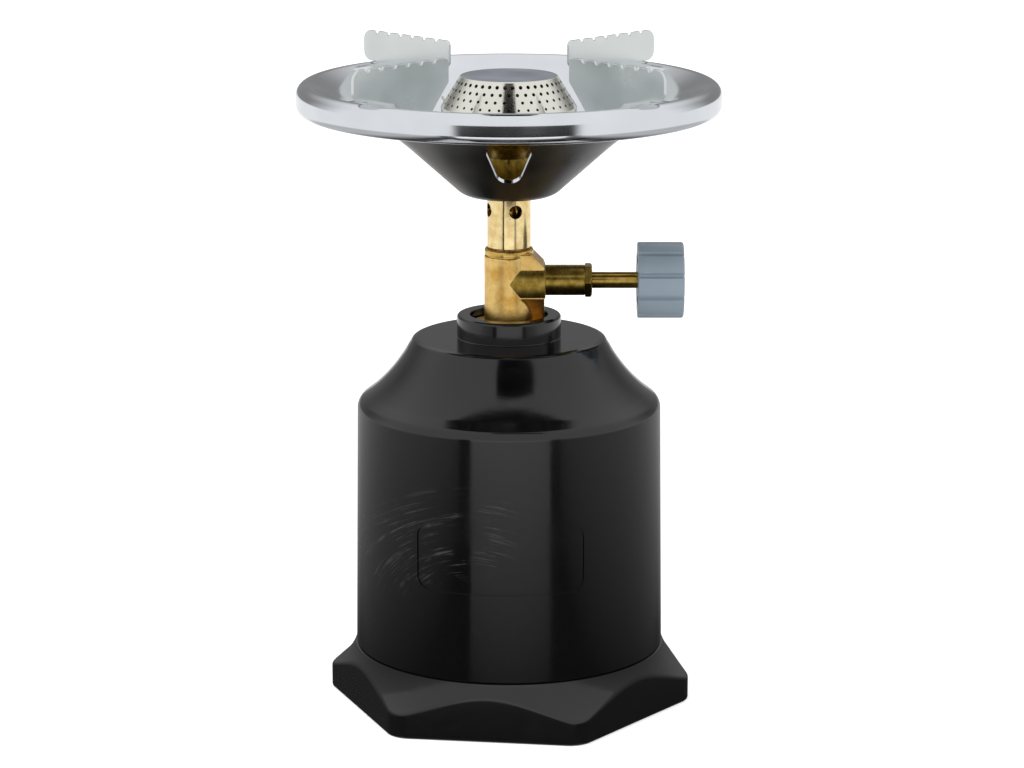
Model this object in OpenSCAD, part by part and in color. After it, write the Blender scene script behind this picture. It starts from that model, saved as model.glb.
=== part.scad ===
// Upright single-burner camping stove for a pierceable butane cartridge.
// Origin: centre of the foot's underside. +Z is up, the label panel faces -Y, the knob points to +X.
// All sizes are in millimetres.

/* [Cartridge] */
// Diameter of the gas cartridge that the stove is made for
cartridge_d = 90; // [86:0.5:94]
// Height of the cartridge up to the face that the seal presses on
cartridge_h = 94.5; // [93:0.5:98]
// Free space around the cartridge
cartridge_gap = 0.5; // [0.3:0.1:1.5]

/* [Foot] */
// Distance across the flats of the six-sided foot
foot_across_flats = 103; // [102.5:0.5:112]
// Rounding of the foot's six upright corners
foot_corner_r = 8; // [4:1:14]
// Height of the foot up to the seam with the housing
foot_h = 18.5; // [17:0.5:22]
// Turn of the hexagon away from square to the front
foot_turn = -7.7; // [-15:0.1:15]
// Radius of the hollow flare that blends the hexagon into the round seam
flare_r = 19.3; // [17:0.1:24]
// Lean of the flare at the seam
flare_lean = 18; // [10:1:25]
// Thickness of the floor that the cartridge stands on
floor_t = 2.4; // [1.6:0.2:4]
// Height of the recess under that floor
floor_lift = 2.6; // [1:0.2:4]
// Width of the ring under the foot that stands on the table
foot_ring_w = 8.5; // [5:0.5:12]

/* [Bayonet] */
// Wall of the housing's spigot
spigot_wall = 1.4; // [1.2:0.1:2]
// Length of the spigot below the seam
spigot_len = 10.3; // [9.5:0.1:11]
// How far a bayonet lug stands out of the spigot
lug_proud = 1.5; // [1:0.1:2]
// Height of a bayonet lug
lug_h = 2.6; // [2:0.1:3.4]
// Distance from the seam down to a lug's upper face
lug_drop = 6.4; // [5:0.1:6.8]
// Width of a lug round the spigot
lug_arc = 16; // [10:1:24]
// Turn between locked and free
bayonet_turn = 25; // [15:1:35]
// Skin that the foot keeps outside the lug channel
lip_skin = 0.8; // [0.6:0.1:1.4]
// Step from the foot's seam edge in to the housing's skin
seam_step = 0.3; // [0:0.1:0.8]

/* [Housing] */
// Wall thickness of the housing
housing_wall = 2.2; // [1.6:0.1:3]
// Draft of the round side between the seam and the shoulder
housing_draft = 0.95; // [0.4:0.05:1.6]
// Height where the round side meets the shoulder
shoulder_z = 97.6; // [95:0.2:101]
// Radius of the hollow shoulder
shoulder_r = 53; // [40:1:80]
// Rounding between the side and the shoulder
shoulder_edge_r = 4; // [2:0.5:5]
// Height of the flat top of the housing
top_z = 118.5; // [117:0.5:120]
// Radius where the shoulder meets the flat top
top_edge_at = 30.6; // [26:0.2:34]
// Rounding of that edge
top_edge_r = 2.7; // [1:0.1:3]
// Outer radius of the neck collar
collar_r = 16.5; // [15.5:0.1:19]
// Height of the neck collar above the flat top
collar_h = 7.2; // [6:0.2:9]
// Rounding of the collar's edge
collar_edge_r = 1; // [0.4:0.1:1.4]
// Radius of the bore in the neck
neck_bore_r = 12.3; // [12.1:0.1:13]
// Width of the label panel
panel_w = 51.7; // [40:0.1:60]
// Height of the label panel
panel_h = 21; // [15:0.5:26]
// Height of the label panel's lower edge above the table
panel_z = 47; // [35:0.5:55]
// Distance of the label panel's middle to the left of the stove's axis
panel_left = 2.6; // [0:0.1:5]
// Depth of the label panel
panel_depth = 0.35; // [0.2:0.05:0.6]

/* [Neck bush] */
// Radius of the bush's bore, over the thread of the valve's shank
bush_bore_r = 9.9; // [9.6:0.1:10.6]
// Radius of the flange that holds the bush inside the housing
bush_flange_r = 14.2; // [13.6:0.1:15.2]
// Thickness of that flange
bush_flange_t = 2; // [1.4:0.1:2.6]
// Length of the bush
bush_len = 16.8; // [14:0.2:16.8]

/* [Valve body] */
// Radius of the flange above the neck bush
valve_flange_r = 11.6; // [11.2:0.1:11.9]
// Thickness of that flange
valve_flange_t = 2.1; // [1.6:0.1:3]
// Radius of the upright column
column_r = 7.8; // [7.6:0.05:8.6]
// Height of the column above the flange
column_h = 23.7; // [23:0.1:27]
// Height of the turned ring at the top of the column
column_ring_h = 2.3; // [1.6:0.1:3]
// Step of that ring
column_ring_step = 0.35; // [0.2:0.05:0.5]
// Reach of the forged block to the side of the knob
block_reach = 11.2; // [10:0.1:12]
// Depth of the forged block, front to back
block_w = 13.8; // [12:0.2:14]
// Depth of the same block at the foot of its tapered web
web_w = 2; // [1.6:0.2:8]
// Size of the chamfer on the forged block
block_chamfer = 4.2; // [2:0.2:6]
// Height of the knob's axis above the valve's flange
spindle_rise = 13.3; // [13:0.1:15.2]
// Radius of the turned arm
arm_r = 4.85; // [4.5:0.05:5.2]
// Reach of the turned arm
arm_reach = 24; // [23.4:0.2:28]

/* [Spindle and knob] */
// Radius of the spindle
spindle_r = 2.6; // [2.2:0.05:2.7]
// Radius of the collar that carries the sealing ring
spindle_collar_r = 3.25; // [3.1:0.05:3.3]
// Radius of the bore that the sealing ring runs in
packing_bore_r = 3.6; // [3.5:0.05:3.9]
// Reach of the gland nut beyond the arm
gland_nut_w = 2.2; // [2:0.2:4]
// Distance of the knob's inner face from the stove's axis
knob_at = 40.6; // [38:0.2:46]
// Width of the knob along its axis
knob_w = 14.5; // [12:0.1:18]
// Outer radius of the knob
knob_r = 12; // [10:0.1:14]
// Number of grip ribs on the knob
knob_ribs = 10; // [6:1:16]
// Depth of the grooves between the ribs
knob_groove = 1; // [0.6:0.1:2]
// Rounding of the knob's outer edge
knob_edge_r = 1.2; // [0.6:0.1:2]

/* [Needle, seal and jet] */
// Radius of the hollow piercing needle
needle_r = 1.5; // [1.2:0.1:2]
// How far the needle reaches into the cartridge
needle_reach = 4.5; // [3:0.5:6]
// Radius of the needle's plug
plug_r = 4; // [3.6:0.1:4.4]
// Length of the needle's plug
plug_len = 4.2; // [3:0.2:5]
// Thickness of the gas filter
filter_t = 3.6; // [2:0.2:4]
// Radius of the rubber cartridge seal
seal_r = 8.2; // [7.5:0.1:8.5]
// Thickness of the rubber cartridge seal
seal_t = 3.9; // [3:0.1:4.2]
// How deep the seal sits in the shank
seal_seat = 2.2; // [1.5:0.1:2.6]
// Radius of the jet's threaded foot
jet_r = 2.4; // [2:0.1:2.6]
// Height of the jet's tip above the top of the valve body
jet_rise = 13; // [9:0.5:13.5]
// Radius of the jet's outlet
jet_orifice_r = 0.15; // [0.1:0.05:0.3]

/* [Burner tube] */
// Outer radius of the burner tube
tube_r = 6.87; // [6.6:0.01:7]
// Wall thickness of the burner tube
tube_wall = 0.95; // [0.7:0.05:1.1]
// Length of the tube between the valve body and the bowl
tube_len = 16.9; // [16:0.1:22]
// Radius of the threaded neck that holds the bowl and the burner
tube_neck_r = 6; // [5.8:0.05:6.2]
// Length of that neck
tube_neck_len = 13.5; // [12.5:0.5:16]
// Radius of an air hole
air_hole_r = 2.15; // [1.5:0.05:2.5]
// Distance from the air holes up to the bowl
air_hole_drop = 4.4; // [3:0.1:5]
// Number of air holes
air_holes = 4; // [2:1:4]
// Width of the slit along the rolled tube's seam
tube_slit = 0.3; // [0.3:0.1:0.8]

/* [Bowl] */
// Outer radius of the bowl's rim
bowl_r = 66.5; // [62:0.5:72]
// Sheet thickness of the bowl
bowl_t = 0.8; // [0.6:0.1:1]
// Radius of the bowl's flat bottom
bowl_flat_r = 11; // [10.5:0.5:13]
// Bend between the flat bottom and the cone
bowl_bend_r = 8; // [6:0.5:10]
// Steepness of the cone
cone_angle = 42; // [38:1:45]
// Radius where the cone starts to flatten out
cone_end_r = 30; // [28:0.5:33]
// Steepness just inside the rim's crest
crest_angle = 23; // [20:1:28]
// Rounding of the rim's crest
crest_r = 3.4; // [2.6:0.1:4]
// Straight height of the rim between its two bends
rim_band_h = 3; // [2:0.2:5]
// Bend at the rim's hem
hem_r = 3; // [2.4:0.1:4]
// Number of windows in the bowl
windows = 4; // [3:1:4]
// Radius where a window starts
window_in_r = 22.5; // [21.5:0.5:26]
// Radius where a window is widest
window_mid_r = 34.5; // [33:0.5:36]
// Radius where a window ends
window_out_r = 43.5; // [41:0.5:45]
// Widest half width of a window
window_half_w = 7; // [5:0.5:8]

/* [Pan supports] */
// Sheet thickness of a pan support
support_t = 1.1; // [0.8:0.1:1.4]
// Height of the supports above the bowl's crest
support_rise = 10.3; // [8:0.1:14]
// Radius where the supports start
support_in_r = 26.5; // [25.5:0.5:30]
// Height of their upright inner end
support_end_h = 7.4; // [4:0.2:10]
// Radius where their sloping lower edge comes down to the bowl
support_heel_r = 39.5; // [34:0.5:46]
// Distance of the supports' outer end inside the rim
support_inset = 0.3; // [0.2:0.1:3]
// Rounding of the supports' outer corners
support_corner_r = 3.2; // [2:0.2:4]
// Number of grip notches on a support
notches = 6; // [3:1:6]
// Distance between two notches
notch_pitch = 5.5; // [4:0.1:5.8]
// Depth of a notch
notch_depth = 1; // [0.5:0.1:1.5]
// Length of the tab that holds a support in the bowl
tab_len = 8; // [5:0.5:9]
// How far that tab reaches through the sheet
tab_reach = 1.6; // [1:0.1:2.5]

/* [Burner head] */
// Radius of the cap's flat top
cap_top_r = 15.2; // [13:0.1:17]
// Radius of the cap's lower edge
cap_base_r = 21.3; // [20:0.1:22.5]
// Height of the cap's perforated cone
cap_cone_h = 9.7; // [8.5:0.1:11]
// Sheet thickness of the cap and the cup
head_t = 0.7; // [0.5:0.05:0.8]
// Height of the cap's lower edge above the tube's neck
cap_lift = 14.7; // [14:0.1:17]
// Number of flame ports in a row
ports = 42; // [24:2:48]
// Number of rows of flame ports
port_rows = 4; // [3:1:4]
// Radius of a flame port in the top row
port_r = 0.58; // [0.4:0.02:0.7]
// How much smaller a port is in the bottom row
port_taper = 0.15; // [0:0.05:0.2]
// Size of the hexagon nut under the cup, across flats
bowl_nut_af = 17; // [16:0.5:19]
// Height of that nut
bowl_nut_h = 3.4; // [3:0.2:4.5]

/* [Clearances] */
// Gap between two faces that turn or slide on each other
turn_gap = 0.3; // [0.25:0.05:0.4]
// Seam between the foot and the housing
seam_gap = 0.2; // [0.1:0.05:0.4]
// Radial clearance of a running thread
thread_gap = 0.08; // [0.05:0.01:0.1]
// Gap in a seat that is pressed, screwed or crimped tight
fit_gap = 0.03; // [0.02:0.01:0.05]

/* [Hidden] */
$fn = 96;
eps = 1;                     // overshoot of a cutting body
arc_steps = 8;               // segments in one rounded corner of an outline

// Foot and bayonet, worked out from the cartridge outwards
floor_z = floor_lift + floor_t;
bay_r = cartridge_d / 2 + cartridge_gap;
spigot_r = bay_r + spigot_wall;
socket_r = spigot_r + turn_gap;
lug_r = spigot_r + lug_proud;
channel_r = lug_r + turn_gap;
lip_r = channel_r + lip_skin;
gap_angle = turn_gap / spigot_r * 180 / PI;
lugs = 3;

// Housing
seam_z = foot_h + seam_gap;
side_r = lip_r - seam_step;
side_top_r = side_r - housing_draft;
collar_z = top_z + collar_h;
cartridge_top = floor_z + cartridge_h;

// Neck bush, hung in the collar's bore
bush_top = collar_z - 4.9;
bush_z = bush_top - bush_len;
boss_z = bush_z + bush_flange_t;
boss_r = bush_flange_r + 1.2;

// Valve body
shank_r = bush_bore_r - thread_gap;
shank_z = cartridge_top + seal_t - seal_seat;
plug_z = shank_z + seal_seat;
flange_z = bush_top + turn_gap;
column_z = flange_z + valve_flange_t;
spindle_z = column_z + spindle_rise;
column_top = column_z + column_h;
ring_z = column_top - column_ring_h;
filter_z = plug_z + plug_len;
filter_top = filter_z + filter_t + fit_gap;
gas_way_r = 0.9;
gas_way_x = plug_r - gas_way_r - fit_gap;
seat_x = 1.5;
seat_r = gas_way_r - 0.15;
outlet_x = seat_x + gas_way_r + 0.2;
spindle_bore_r = spindle_r + thread_gap;
packing_x = arm_reach - 9;
jet_z = ring_z - 3.4;

// Spindle and gland
tip_x = seat_x - 0.3;
tip_len = 2.8;
collar_x = packing_x + turn_gap + 1;
collar_w = 4.2;
groove_w = 1.7;
groove_root_r = spindle_r - 0.6;
ring_section_r = (packing_bore_r - thread_gap - groove_root_r - fit_gap) / 2;
ring_mid_r = groove_root_r + fit_gap + ring_section_r;
gland_nose = 1.2;
gland_r = arm_r + 0.05;
gland_chamfer = 0.5;
spindle_in_knob = 10.5;

// Burner tube, bowl and head
tube_z = ring_z + fit_gap;
tube_bore_r = tube_r - tube_wall;
neck_bore = tube_neck_r - 0.8;
bowl_z = column_top + tube_len;
slit_angle = -104;
air_hole_angle = -71.3;
neck_top = bowl_z + tube_neck_len;
nut_z = bowl_z + bowl_t + fit_gap;
cup_z = nut_z + bowl_nut_h + fit_gap;
cap_z = neck_top + cap_lift;
cap_top_z = cap_z + cap_cone_h;
cup_rim_r = cap_base_r - head_t - fit_gap;

// Pan supports stand over the middle between two windows
support_angle = 45;
support_out_r = bowl_r - support_inset;
slot_gap = 0.15;
tab_in_r = 52;
tab_out_r = tab_in_r + tab_len;

function unit(v) = v / norm(v);
function polar(r, a) = [r * cos(a), r * sin(a)];

// Points of the arc that rounds corner p between its neighbours, with radius r
function corner(before, p, after, r) =
    let (
        u = unit(before - p),
        v = unit(after - p),
        half = acos(u * v) / 2,
        run = r / tan(half),
        c = p + unit(u + v) * r / sin(half),
        from = p + u * run - c,
        to = p + v * run - c,
        a0 = atan2(from[1], from[0]),
        turn = ((atan2(to[1], to[0]) - a0 + 540) % 360) - 180
    )
    [for (i = [0 : arc_steps]) c + polar(r, a0 + turn * i / arc_steps)];

// Outline through points [x, y, rounding]
function rounded(p) =
    let (n = len(p))
    [for (i = [0 : n - 1])
        let (
            q = [p[i][0], p[i][1]],
            before = [p[(i + n - 1) % n][0], p[(i + n - 1) % n][1]],
            after = [p[(i + 1) % n][0], p[(i + 1) % n][1]]
        )
        each p[i][2] == 0 ? [q] : corner(before, q, after, p[i][2])];

// Centre of the circle of radius r through p and q, on the right of the way from p to q
function centre_of(p, q, r) =
    let (
        d = q - p,
        half = norm(d) / 2,
        side = unit([d[1], -d[0]])
    )
    (p + q) / 2 + side * sqrt(r * r - half * half);

// The hollow shoulder as points from the side up to the flat top, moved out by off
shoulder_from = [side_top_r, shoulder_z];
shoulder_to = [top_edge_at, top_z];
shoulder_c = centre_of(shoulder_from, shoulder_to, shoulder_r);
shoulder_a0 = atan2(shoulder_from[1] - shoulder_c[1], shoulder_from[0] - shoulder_c[0]);
shoulder_a1 = atan2(shoulder_to[1] - shoulder_c[1], shoulder_to[0] - shoulder_c[0]);
shoulder_steps = 12;
function shoulder(in_by, from, to) =
    [for (i = [from : to])
        let (a = shoulder_a0 + (shoulder_a1 - shoulder_a0) * i / shoulder_steps)
        let (p = shoulder_c + polar(shoulder_r + in_by, a))
        [p[0], p[1], 0]];

// The bowl's sheet as a path of [radius, height, direction] along its underside
function normal(a) = [-sin(a), cos(a)];
function left_bend(p, a0, a1, r, n) =
    [for (i = [1 : n])
        let (a = a0 + (a1 - a0) * i / n)
        let (q = p + r * normal(a0) - r * normal(a))
        [q[0], q[1], a]];
function right_bend(p, a0, a1, r, n) =
    [for (i = [1 : n])
        let (a = a0 + (a1 - a0) * i / n)
        let (q = p - r * normal(a0) + r * normal(a))
        [q[0], q[1], a]];
function place(p) = [p[0], p[1]];
function last(v) = v[len(v) - 1];

sweep_in_r = bowl_r - crest_r - (crest_r - bowl_t) * sin(crest_angle);
bowl_foot = left_bend([bowl_flat_r, bowl_z], 0, cone_angle, bowl_bend_r, 8);
cone_from = place(last(bowl_foot));
cone_end = [cone_end_r, cone_from[1] + (cone_end_r - cone_from[0]) * tan(cone_angle)];
sweep_r = (sweep_in_r - cone_end_r) / (sin(cone_angle) - sin(crest_angle));
bowl_sweep = right_bend(cone_end, cone_angle, crest_angle, sweep_r, 16);
crest_bend = right_bend(place(last(bowl_sweep)), crest_angle, -90, crest_r - bowl_t, 10);
band_end = place(last(crest_bend)) - [0, rim_band_h];
hem_bend = right_bend(band_end, -90, -205, hem_r - bowl_t, 10);
bowl_path = concat(
    [[tube_neck_r + fit_gap, bowl_z, 0], [bowl_flat_r, bowl_z, 0]],
    bowl_foot,
    [[cone_end[0], cone_end[1], cone_angle]],
    bowl_sweep,
    crest_bend,
    [[band_end[0], band_end[1], -90]],
    hem_bend
);
function sheet_side(off) = [for (p = bowl_path) place(p) + off * normal(p[2])];
function backwards(v) = [for (i = [len(v) - 1 : -1 : 0]) v[i]];
crest_z = max([for (p = sheet_side(bowl_t)) p[1]]);

// Height of the bowl's upper face at radius r, on the cone and its sweep
bowl_inside = [for (p = concat([[cone_from[0], cone_from[1], cone_angle]],
    [[cone_end[0], cone_end[1], cone_angle]], bowl_sweep)) place(p) + bowl_t * normal(p[2])];
function bowl_inside_z(r) = lookup(r, bowl_inside);
support_z = crest_z + support_rise;

// A ring sector round the Z axis, from radius r0 to r1 and height z0 to z1
module sector(r0, r1, z0, z1, a0, a1) {
    rotate([0, 0, a0])
        rotate_extrude(angle = a1 - a0)
            translate([r0, z0])
                square([r1 - r0, z1 - z0]);
}

module along_x(x, z) {
    translate([x, 0, z])
        rotate([0, 90, 0])
            children();
}

// Six-sided foot: flared outside, with a socket and bayonet channels for the housing
module foot_base() {
    corner_at = foot_across_flats / 2 / cos(30);
    hexagon = rounded([for (i = [0 : 5])
        concat(polar(corner_at, 30 + 60 * i), [foot_corner_r])]);
    flare_c = [lip_r, foot_h] + polar(flare_r, flare_lean);
    flare_steps = 14;
    flare_sweep = 90 - flare_lean;
    flare = [for (i = [0 : flare_steps])
        flare_c + polar(flare_r, 270 - flare_sweep * i / flare_steps)];
    channel_z0 = seam_z - lug_drop - lug_h - turn_gap;
    channel_z1 = seam_z - lug_drop + turn_gap;
    side = lug_arc / 2 + gap_angle;
    core_r = 3;
    channel_deeper = 0.2;
    color("#17181a")
    difference() {
        intersection() {
            rotate([0, 0, foot_turn - 30 - 60])
                linear_extrude(foot_h)
                    polygon(hexagon);
            rotate_extrude()
                polygon(concat([[0, 0], [corner_at, 0], [corner_at, flare_c[1] - flare_r]], flare, [[0, foot_h]]));
        }
        translate([0, 0, floor_z])
            cylinder(r = socket_r, h = foot_h);
        for (i = [0 : lugs - 1])
            rotate([0, 0, i * 360 / lugs]) {
                sector(socket_r - eps, channel_r + channel_deeper, channel_z0, channel_z1, -side,
                    bayonet_turn + side + gap_angle);
                sector(socket_r - eps, channel_r, (channel_z0 + channel_z1) / 2, foot_h + eps,
                    bayonet_turn - side, bayonet_turn + side);
            }
        translate([0, 0, -eps])
            cylinder(r = foot_across_flats / 2 - foot_ring_w, h = floor_lift + eps);
        for (i = [0 : 5])
            rotate([0, 0, foot_turn - 60 + 60 * i])
                translate([corner_at - foot_corner_r + 0.8, 0, -eps])
                    cylinder(r = core_r, h = floor_lift + floor_t + eps);
    }
}

// One-piece cover: round side, hollow shoulder, neck collar, spigot with three lugs
module housing() {
    steps = shoulder_steps;
    outside = rounded(concat(
        [[0, seam_z, 0], [side_r, seam_z, 0], [side_top_r, shoulder_z, shoulder_edge_r]],
        shoulder(0, 2, steps - 1),
        [[top_edge_at, top_z, top_edge_r], [0, top_z, 0]]));
    collar = rounded([[0, top_z - eps, 0], [collar_r, top_z - eps, 0],
        [collar_r, collar_z, collar_edge_r], [0, collar_z, 0]]);
    step_z = seam_z + 2;
    inside = concat(
        [[0, seam_z - spigot_len - eps], [bay_r, seam_z - spigot_len - eps], [bay_r, step_z],
            [side_r - housing_wall, step_z + housing_wall]],
        [for (p = shoulder(housing_wall, 1, steps - 1)) place(p)],
        [[top_edge_at - housing_wall - top_edge_r, top_z - housing_wall], [0, top_z - housing_wall]]);
    color("#141416")
    difference() {
        union() {
            difference() {
                union() {
                    rotate_extrude()
                        polygon(outside);
                    rotate_extrude()
                        polygon(collar);
                    translate([0, 0, seam_z - spigot_len])
                        cylinder(r = spigot_r, h = spigot_len + eps);
                }
                rotate_extrude()
                    polygon(inside);
            }
            translate([0, 0, boss_z])
                cylinder(r = boss_r, h = top_z - boss_z);
        }
        translate([0, 0, boss_z - eps])
            cylinder(r = neck_bore_r, h = collar_z);
        label_panel();
    }
    color("#141416")
    for (i = [0 : lugs - 1])
        sector(spigot_r - spigot_wall / 2, lug_r, seam_z - lug_drop - lug_h, seam_z - lug_drop,
            i * 360 / lugs - lug_arc / 2, i * 360 / lugs + lug_arc / 2);
}

// What the label panel takes away from the housing's skin
module label_panel() {
    half_w = panel_w / 2;
    panel_corner_r = 4;
    draft_at = (panel_z - seam_z) / (shoulder_z - seam_z);
    draft_top = (panel_z + panel_h - seam_z) / (shoulder_z - seam_z);
    outline = rounded([
        [-half_w, 0, panel_corner_r], [half_w, 0, panel_corner_r],
        [half_w, panel_h, panel_corner_r], [-half_w, panel_h, panel_corner_r]]);
    intersection() {
        translate([-panel_left, 0, panel_z])
            rotate([90, 0, 0])
                linear_extrude(lip_r + eps)
                    polygon(outline);
        rotate_extrude()
            polygon([
                [side_r - housing_draft * draft_at - panel_depth, panel_z],
                [lip_r + eps, panel_z],
                [lip_r + eps, panel_z + panel_h],
                [side_r - housing_draft * draft_top - panel_depth, panel_z + panel_h]]);
    }
}

// Flanged brass bush that is pulled up into the housing's neck
module neck_bush() {
    color("#b8924a")
    difference() {
        union() {
            translate([0, 0, bush_z])
                cylinder(r = bush_flange_r, h = bush_flange_t - fit_gap);
            translate([0, 0, bush_z])
                cylinder(r = neck_bore_r - fit_gap, h = bush_len);
        }
        translate([0, 0, bush_z - eps])
            cylinder(r = bush_bore_r, h = bush_len + 2 * eps);
    }
}

// Forged and turned valve body: shank, flange, column, block, boss and arm, with its gas ways
module valve_body() {
    boss_depth = column_r - 0.05;
    boss_half_h = arm_r - 0.2;
    boss_curve_r = column_r * 1.5;
    block_z = column_z - eps / 2;
    block_top = column_top - 1;
    color("#c49a50")
    difference() {
        union() {
            translate([0, 0, shank_z])
                cylinder(r = shank_r, h = flange_z - shank_z + eps);
            translate([0, 0, flange_z])
                cylinder(r = valve_flange_r, h = valve_flange_t);
            translate([0, 0, flange_z])
                cylinder(r = column_r, h = ring_z - flange_z);
            translate([0, 0, ring_z - eps])
                cylinder(r = column_r - column_ring_step, h = column_ring_h + eps);
            intersection() {
                translate([0, block_w, 0])
                    rotate([90, 0, 0])
                        linear_extrude(2 * block_w)
                            polygon([[0, block_z], [block_reach, block_z],
                                [block_reach, block_top - block_chamfer],
                                [block_reach - block_chamfer, block_top], [0, block_top]]);
                rotate([90, 0, 90])
                    linear_extrude(block_reach + eps)
                        polygon([[-web_w / 2, block_z], [web_w / 2, block_z],
                            [block_w / 2, spindle_z - arm_r], [block_w / 2, block_top],
                            [-block_w / 2, block_top], [-block_w / 2, spindle_z - arm_r]]);
            }
            intersection() {
                translate([0, boss_curve_r - boss_depth, 0])
                    along_x(0, spindle_z)
                        cylinder(r = boss_curve_r, h = block_reach + 0.3);
                translate([0, boss_depth - boss_curve_r, 0])
                    along_x(0, spindle_z)
                        cylinder(r = boss_curve_r, h = block_reach + 0.3);
                translate([0, -column_r, spindle_z - boss_half_h])
                    cube([block_reach + 0.3, 2 * column_r, 2 * boss_half_h]);
            }
            along_x(0, spindle_z)
                cylinder(r = arm_r, h = arm_reach);
        }
        translate([0, 0, shank_z - eps])
            cylinder(r = seal_r + thread_gap, h = seal_seat + eps);
        translate([0, 0, plug_z - eps])
            cylinder(r = plug_r + fit_gap, h = filter_top - plug_z + eps);
        translate([-gas_way_x, 0, filter_top - eps])
            cylinder(r = gas_way_r, h = spindle_z - filter_top + eps);
        along_x(-gas_way_x, spindle_z)
            cylinder(r = seat_r, h = gas_way_x + seat_x + eps);
        along_x(seat_x, spindle_z)
            cylinder(r = spindle_bore_r, h = arm_reach);
        along_x(packing_x, spindle_z)
            cylinder(r = packing_bore_r, h = arm_reach);
        translate([outlet_x, 0, spindle_z])
            cylinder(r = gas_way_r, h = jet_z - spindle_z + eps);
        translate([0, 0, jet_z])
            cylinder(r = jet_r + fit_gap, h = column_top);
        translate([0, 0, ring_z])
            cylinder(r = tube_r + fit_gap, h = column_top);
    }
}

// Hollow steel needle on the plug that is pressed into the shank
module piercing_needle() {
    tip_z = cartridge_top - needle_reach;
    bore = 0.7;
    color("#a9acae")
    difference() {
        union() {
            translate([0, 0, plug_z])
                cylinder(r = plug_r, h = plug_len);
            translate([0, 0, tip_z])
                cylinder(r = needle_r, h = plug_z - tip_z + eps);
        }
        translate([0, 0, tip_z - eps])
            cylinder(r = bore, h = plug_z + plug_len);
        translate([0, 0, tip_z + 2 * needle_r])
            rotate([0, 30, 0])
                translate([-4 * needle_r, -2 * needle_r, -8 * needle_r])
                    cube([4 * needle_r, 4 * needle_r, 8 * needle_r]);
    }
}

// Rubber ring between the shank and the cartridge
module cartridge_seal() {
    color("#232323")
    translate([0, 0, cartridge_top])
        difference() {
            cylinder(r = seal_r, h = seal_t);
            translate([0, 0, -eps])
                cylinder(r = needle_r + thread_gap, h = seal_t + 2 * eps);
        }
}

// Sintered disc that keeps dirt out of the jet
module gas_filter() {
    color("#8f7a4e")
    translate([0, 0, filter_z])
        cylinder(r = plug_r - fit_gap, h = filter_t);
}

// Threaded brass spindle with a cone tip and a collar for its sealing ring
module spindle() {
    groove_x = collar_x + (collar_w - groove_w) / 2;
    color("#a8853f")
    difference() {
        union() {
            along_x(tip_x, spindle_z)
                cylinder(r1 = 0.3, r2 = spindle_r, h = tip_len);
            along_x(tip_x + tip_len, spindle_z)
                cylinder(r = spindle_r, h = knob_at + spindle_in_knob - tip_x - tip_len);
            along_x(collar_x, spindle_z)
                cylinder(r = spindle_collar_r, h = collar_w);
        }
        along_x(groove_x, spindle_z)
            difference() {
                cylinder(r = spindle_collar_r + eps, h = groove_w);
                translate([0, 0, -eps])
                    cylinder(r = groove_root_r, h = groove_w + 2 * eps);
            }
    }
}

module spindle_oring() {
    color("#1c1c1c")
    along_x(collar_x + collar_w / 2, spindle_z)
        rotate_extrude()
            translate([ring_mid_r, 0])
                circle(ring_section_r);
}

// Nut that closes the packing bore at the end of the arm
module gland_nut() {
    hex_r = gland_r / cos(30);
    color("#a8853f")
    difference() {
        union() {
            along_x(arm_reach - gland_nose, spindle_z)
                cylinder(r = packing_bore_r - fit_gap, h = gland_nose + eps);
            intersection() {
                along_x(arm_reach + fit_gap, spindle_z)
                    rotate([0, 0, 30])
                        cylinder(r = hex_r, h = gland_nut_w, $fn = 6);
                along_x(arm_reach + fit_gap, spindle_z)
                    cylinder(r1 = hex_r, r2 = hex_r - gland_chamfer, h = gland_nut_w);
            }
        }
        along_x(arm_reach - gland_nose - eps, spindle_z)
            cylinder(r = spindle_bore_r, h = gland_nose + gland_nut_w + 3 * eps);
    }
}

// Ribbed grip knob, pushed onto the spindle's end
module knob() {
    hub_r = 5.5;
    shell = 2.6;
    recess = 3.5;
    groove_half = 180 / knob_ribs * 0.2;
    profile = rounded([[0, 0, 0], [knob_r, 0, 0.5], [knob_r, knob_w, knob_edge_r], [0, knob_w, 0]]);
    groove = [
        polar(knob_r + eps, -groove_half * 1.5), polar(knob_r - knob_groove, -groove_half * 0.6),
        polar(knob_r - knob_groove, groove_half * 0.6), polar(knob_r + eps, groove_half * 1.5)];
    color("#7f8d98")
    along_x(knob_at, spindle_z)
        difference() {
            rotate_extrude()
                polygon(profile);
            for (i = [0 : knob_ribs - 1])
                rotate([0, 0, 360 / knob_ribs * (i + 0.5)])
                    translate([0, 0, -eps])
                        linear_extrude(knob_w + 2 * eps)
                            polygon(groove);
            translate([0, 0, -eps])
                difference() {
                    cylinder(r = knob_r - knob_groove - shell, h = recess + eps);
                    cylinder(r = hub_r, h = recess + eps);
                }
            translate([0, 0, -eps])
                cylinder(r = spindle_r + fit_gap, h = spindle_in_knob + fit_gap + eps);
        }
}

// Jet: threaded foot, hexagon and a slim nozzle with a fine outlet
module jet() {
    tip_z = column_top + jet_rise;
    hex_z = ring_z + fit_gap;
    hex_h = 3.5;
    nozzle_r = jet_r + 0.3;
    color("#d0a755")
    difference() {
        union() {
            translate([0, 0, jet_z + fit_gap])
                cylinder(r = jet_r, h = hex_z - jet_z + eps);
            translate([0, 0, hex_z])
                cylinder(r = 3.9, h = hex_h, $fn = 6);
            translate([0, 0, hex_z])
                cylinder(r = nozzle_r, h = tip_z - hex_z - 1);
            translate([0, 0, tip_z - 1])
                cylinder(r1 = nozzle_r, r2 = nozzle_r - 0.8, h = 1);
        }
        translate([0, 0, jet_z - eps])
            cylinder(r = 1, h = tip_z - jet_z);
        translate([0, 0, tip_z - 2 * eps])
            cylinder(r = jet_orifice_r, h = 3 * eps);
    }
}

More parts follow.
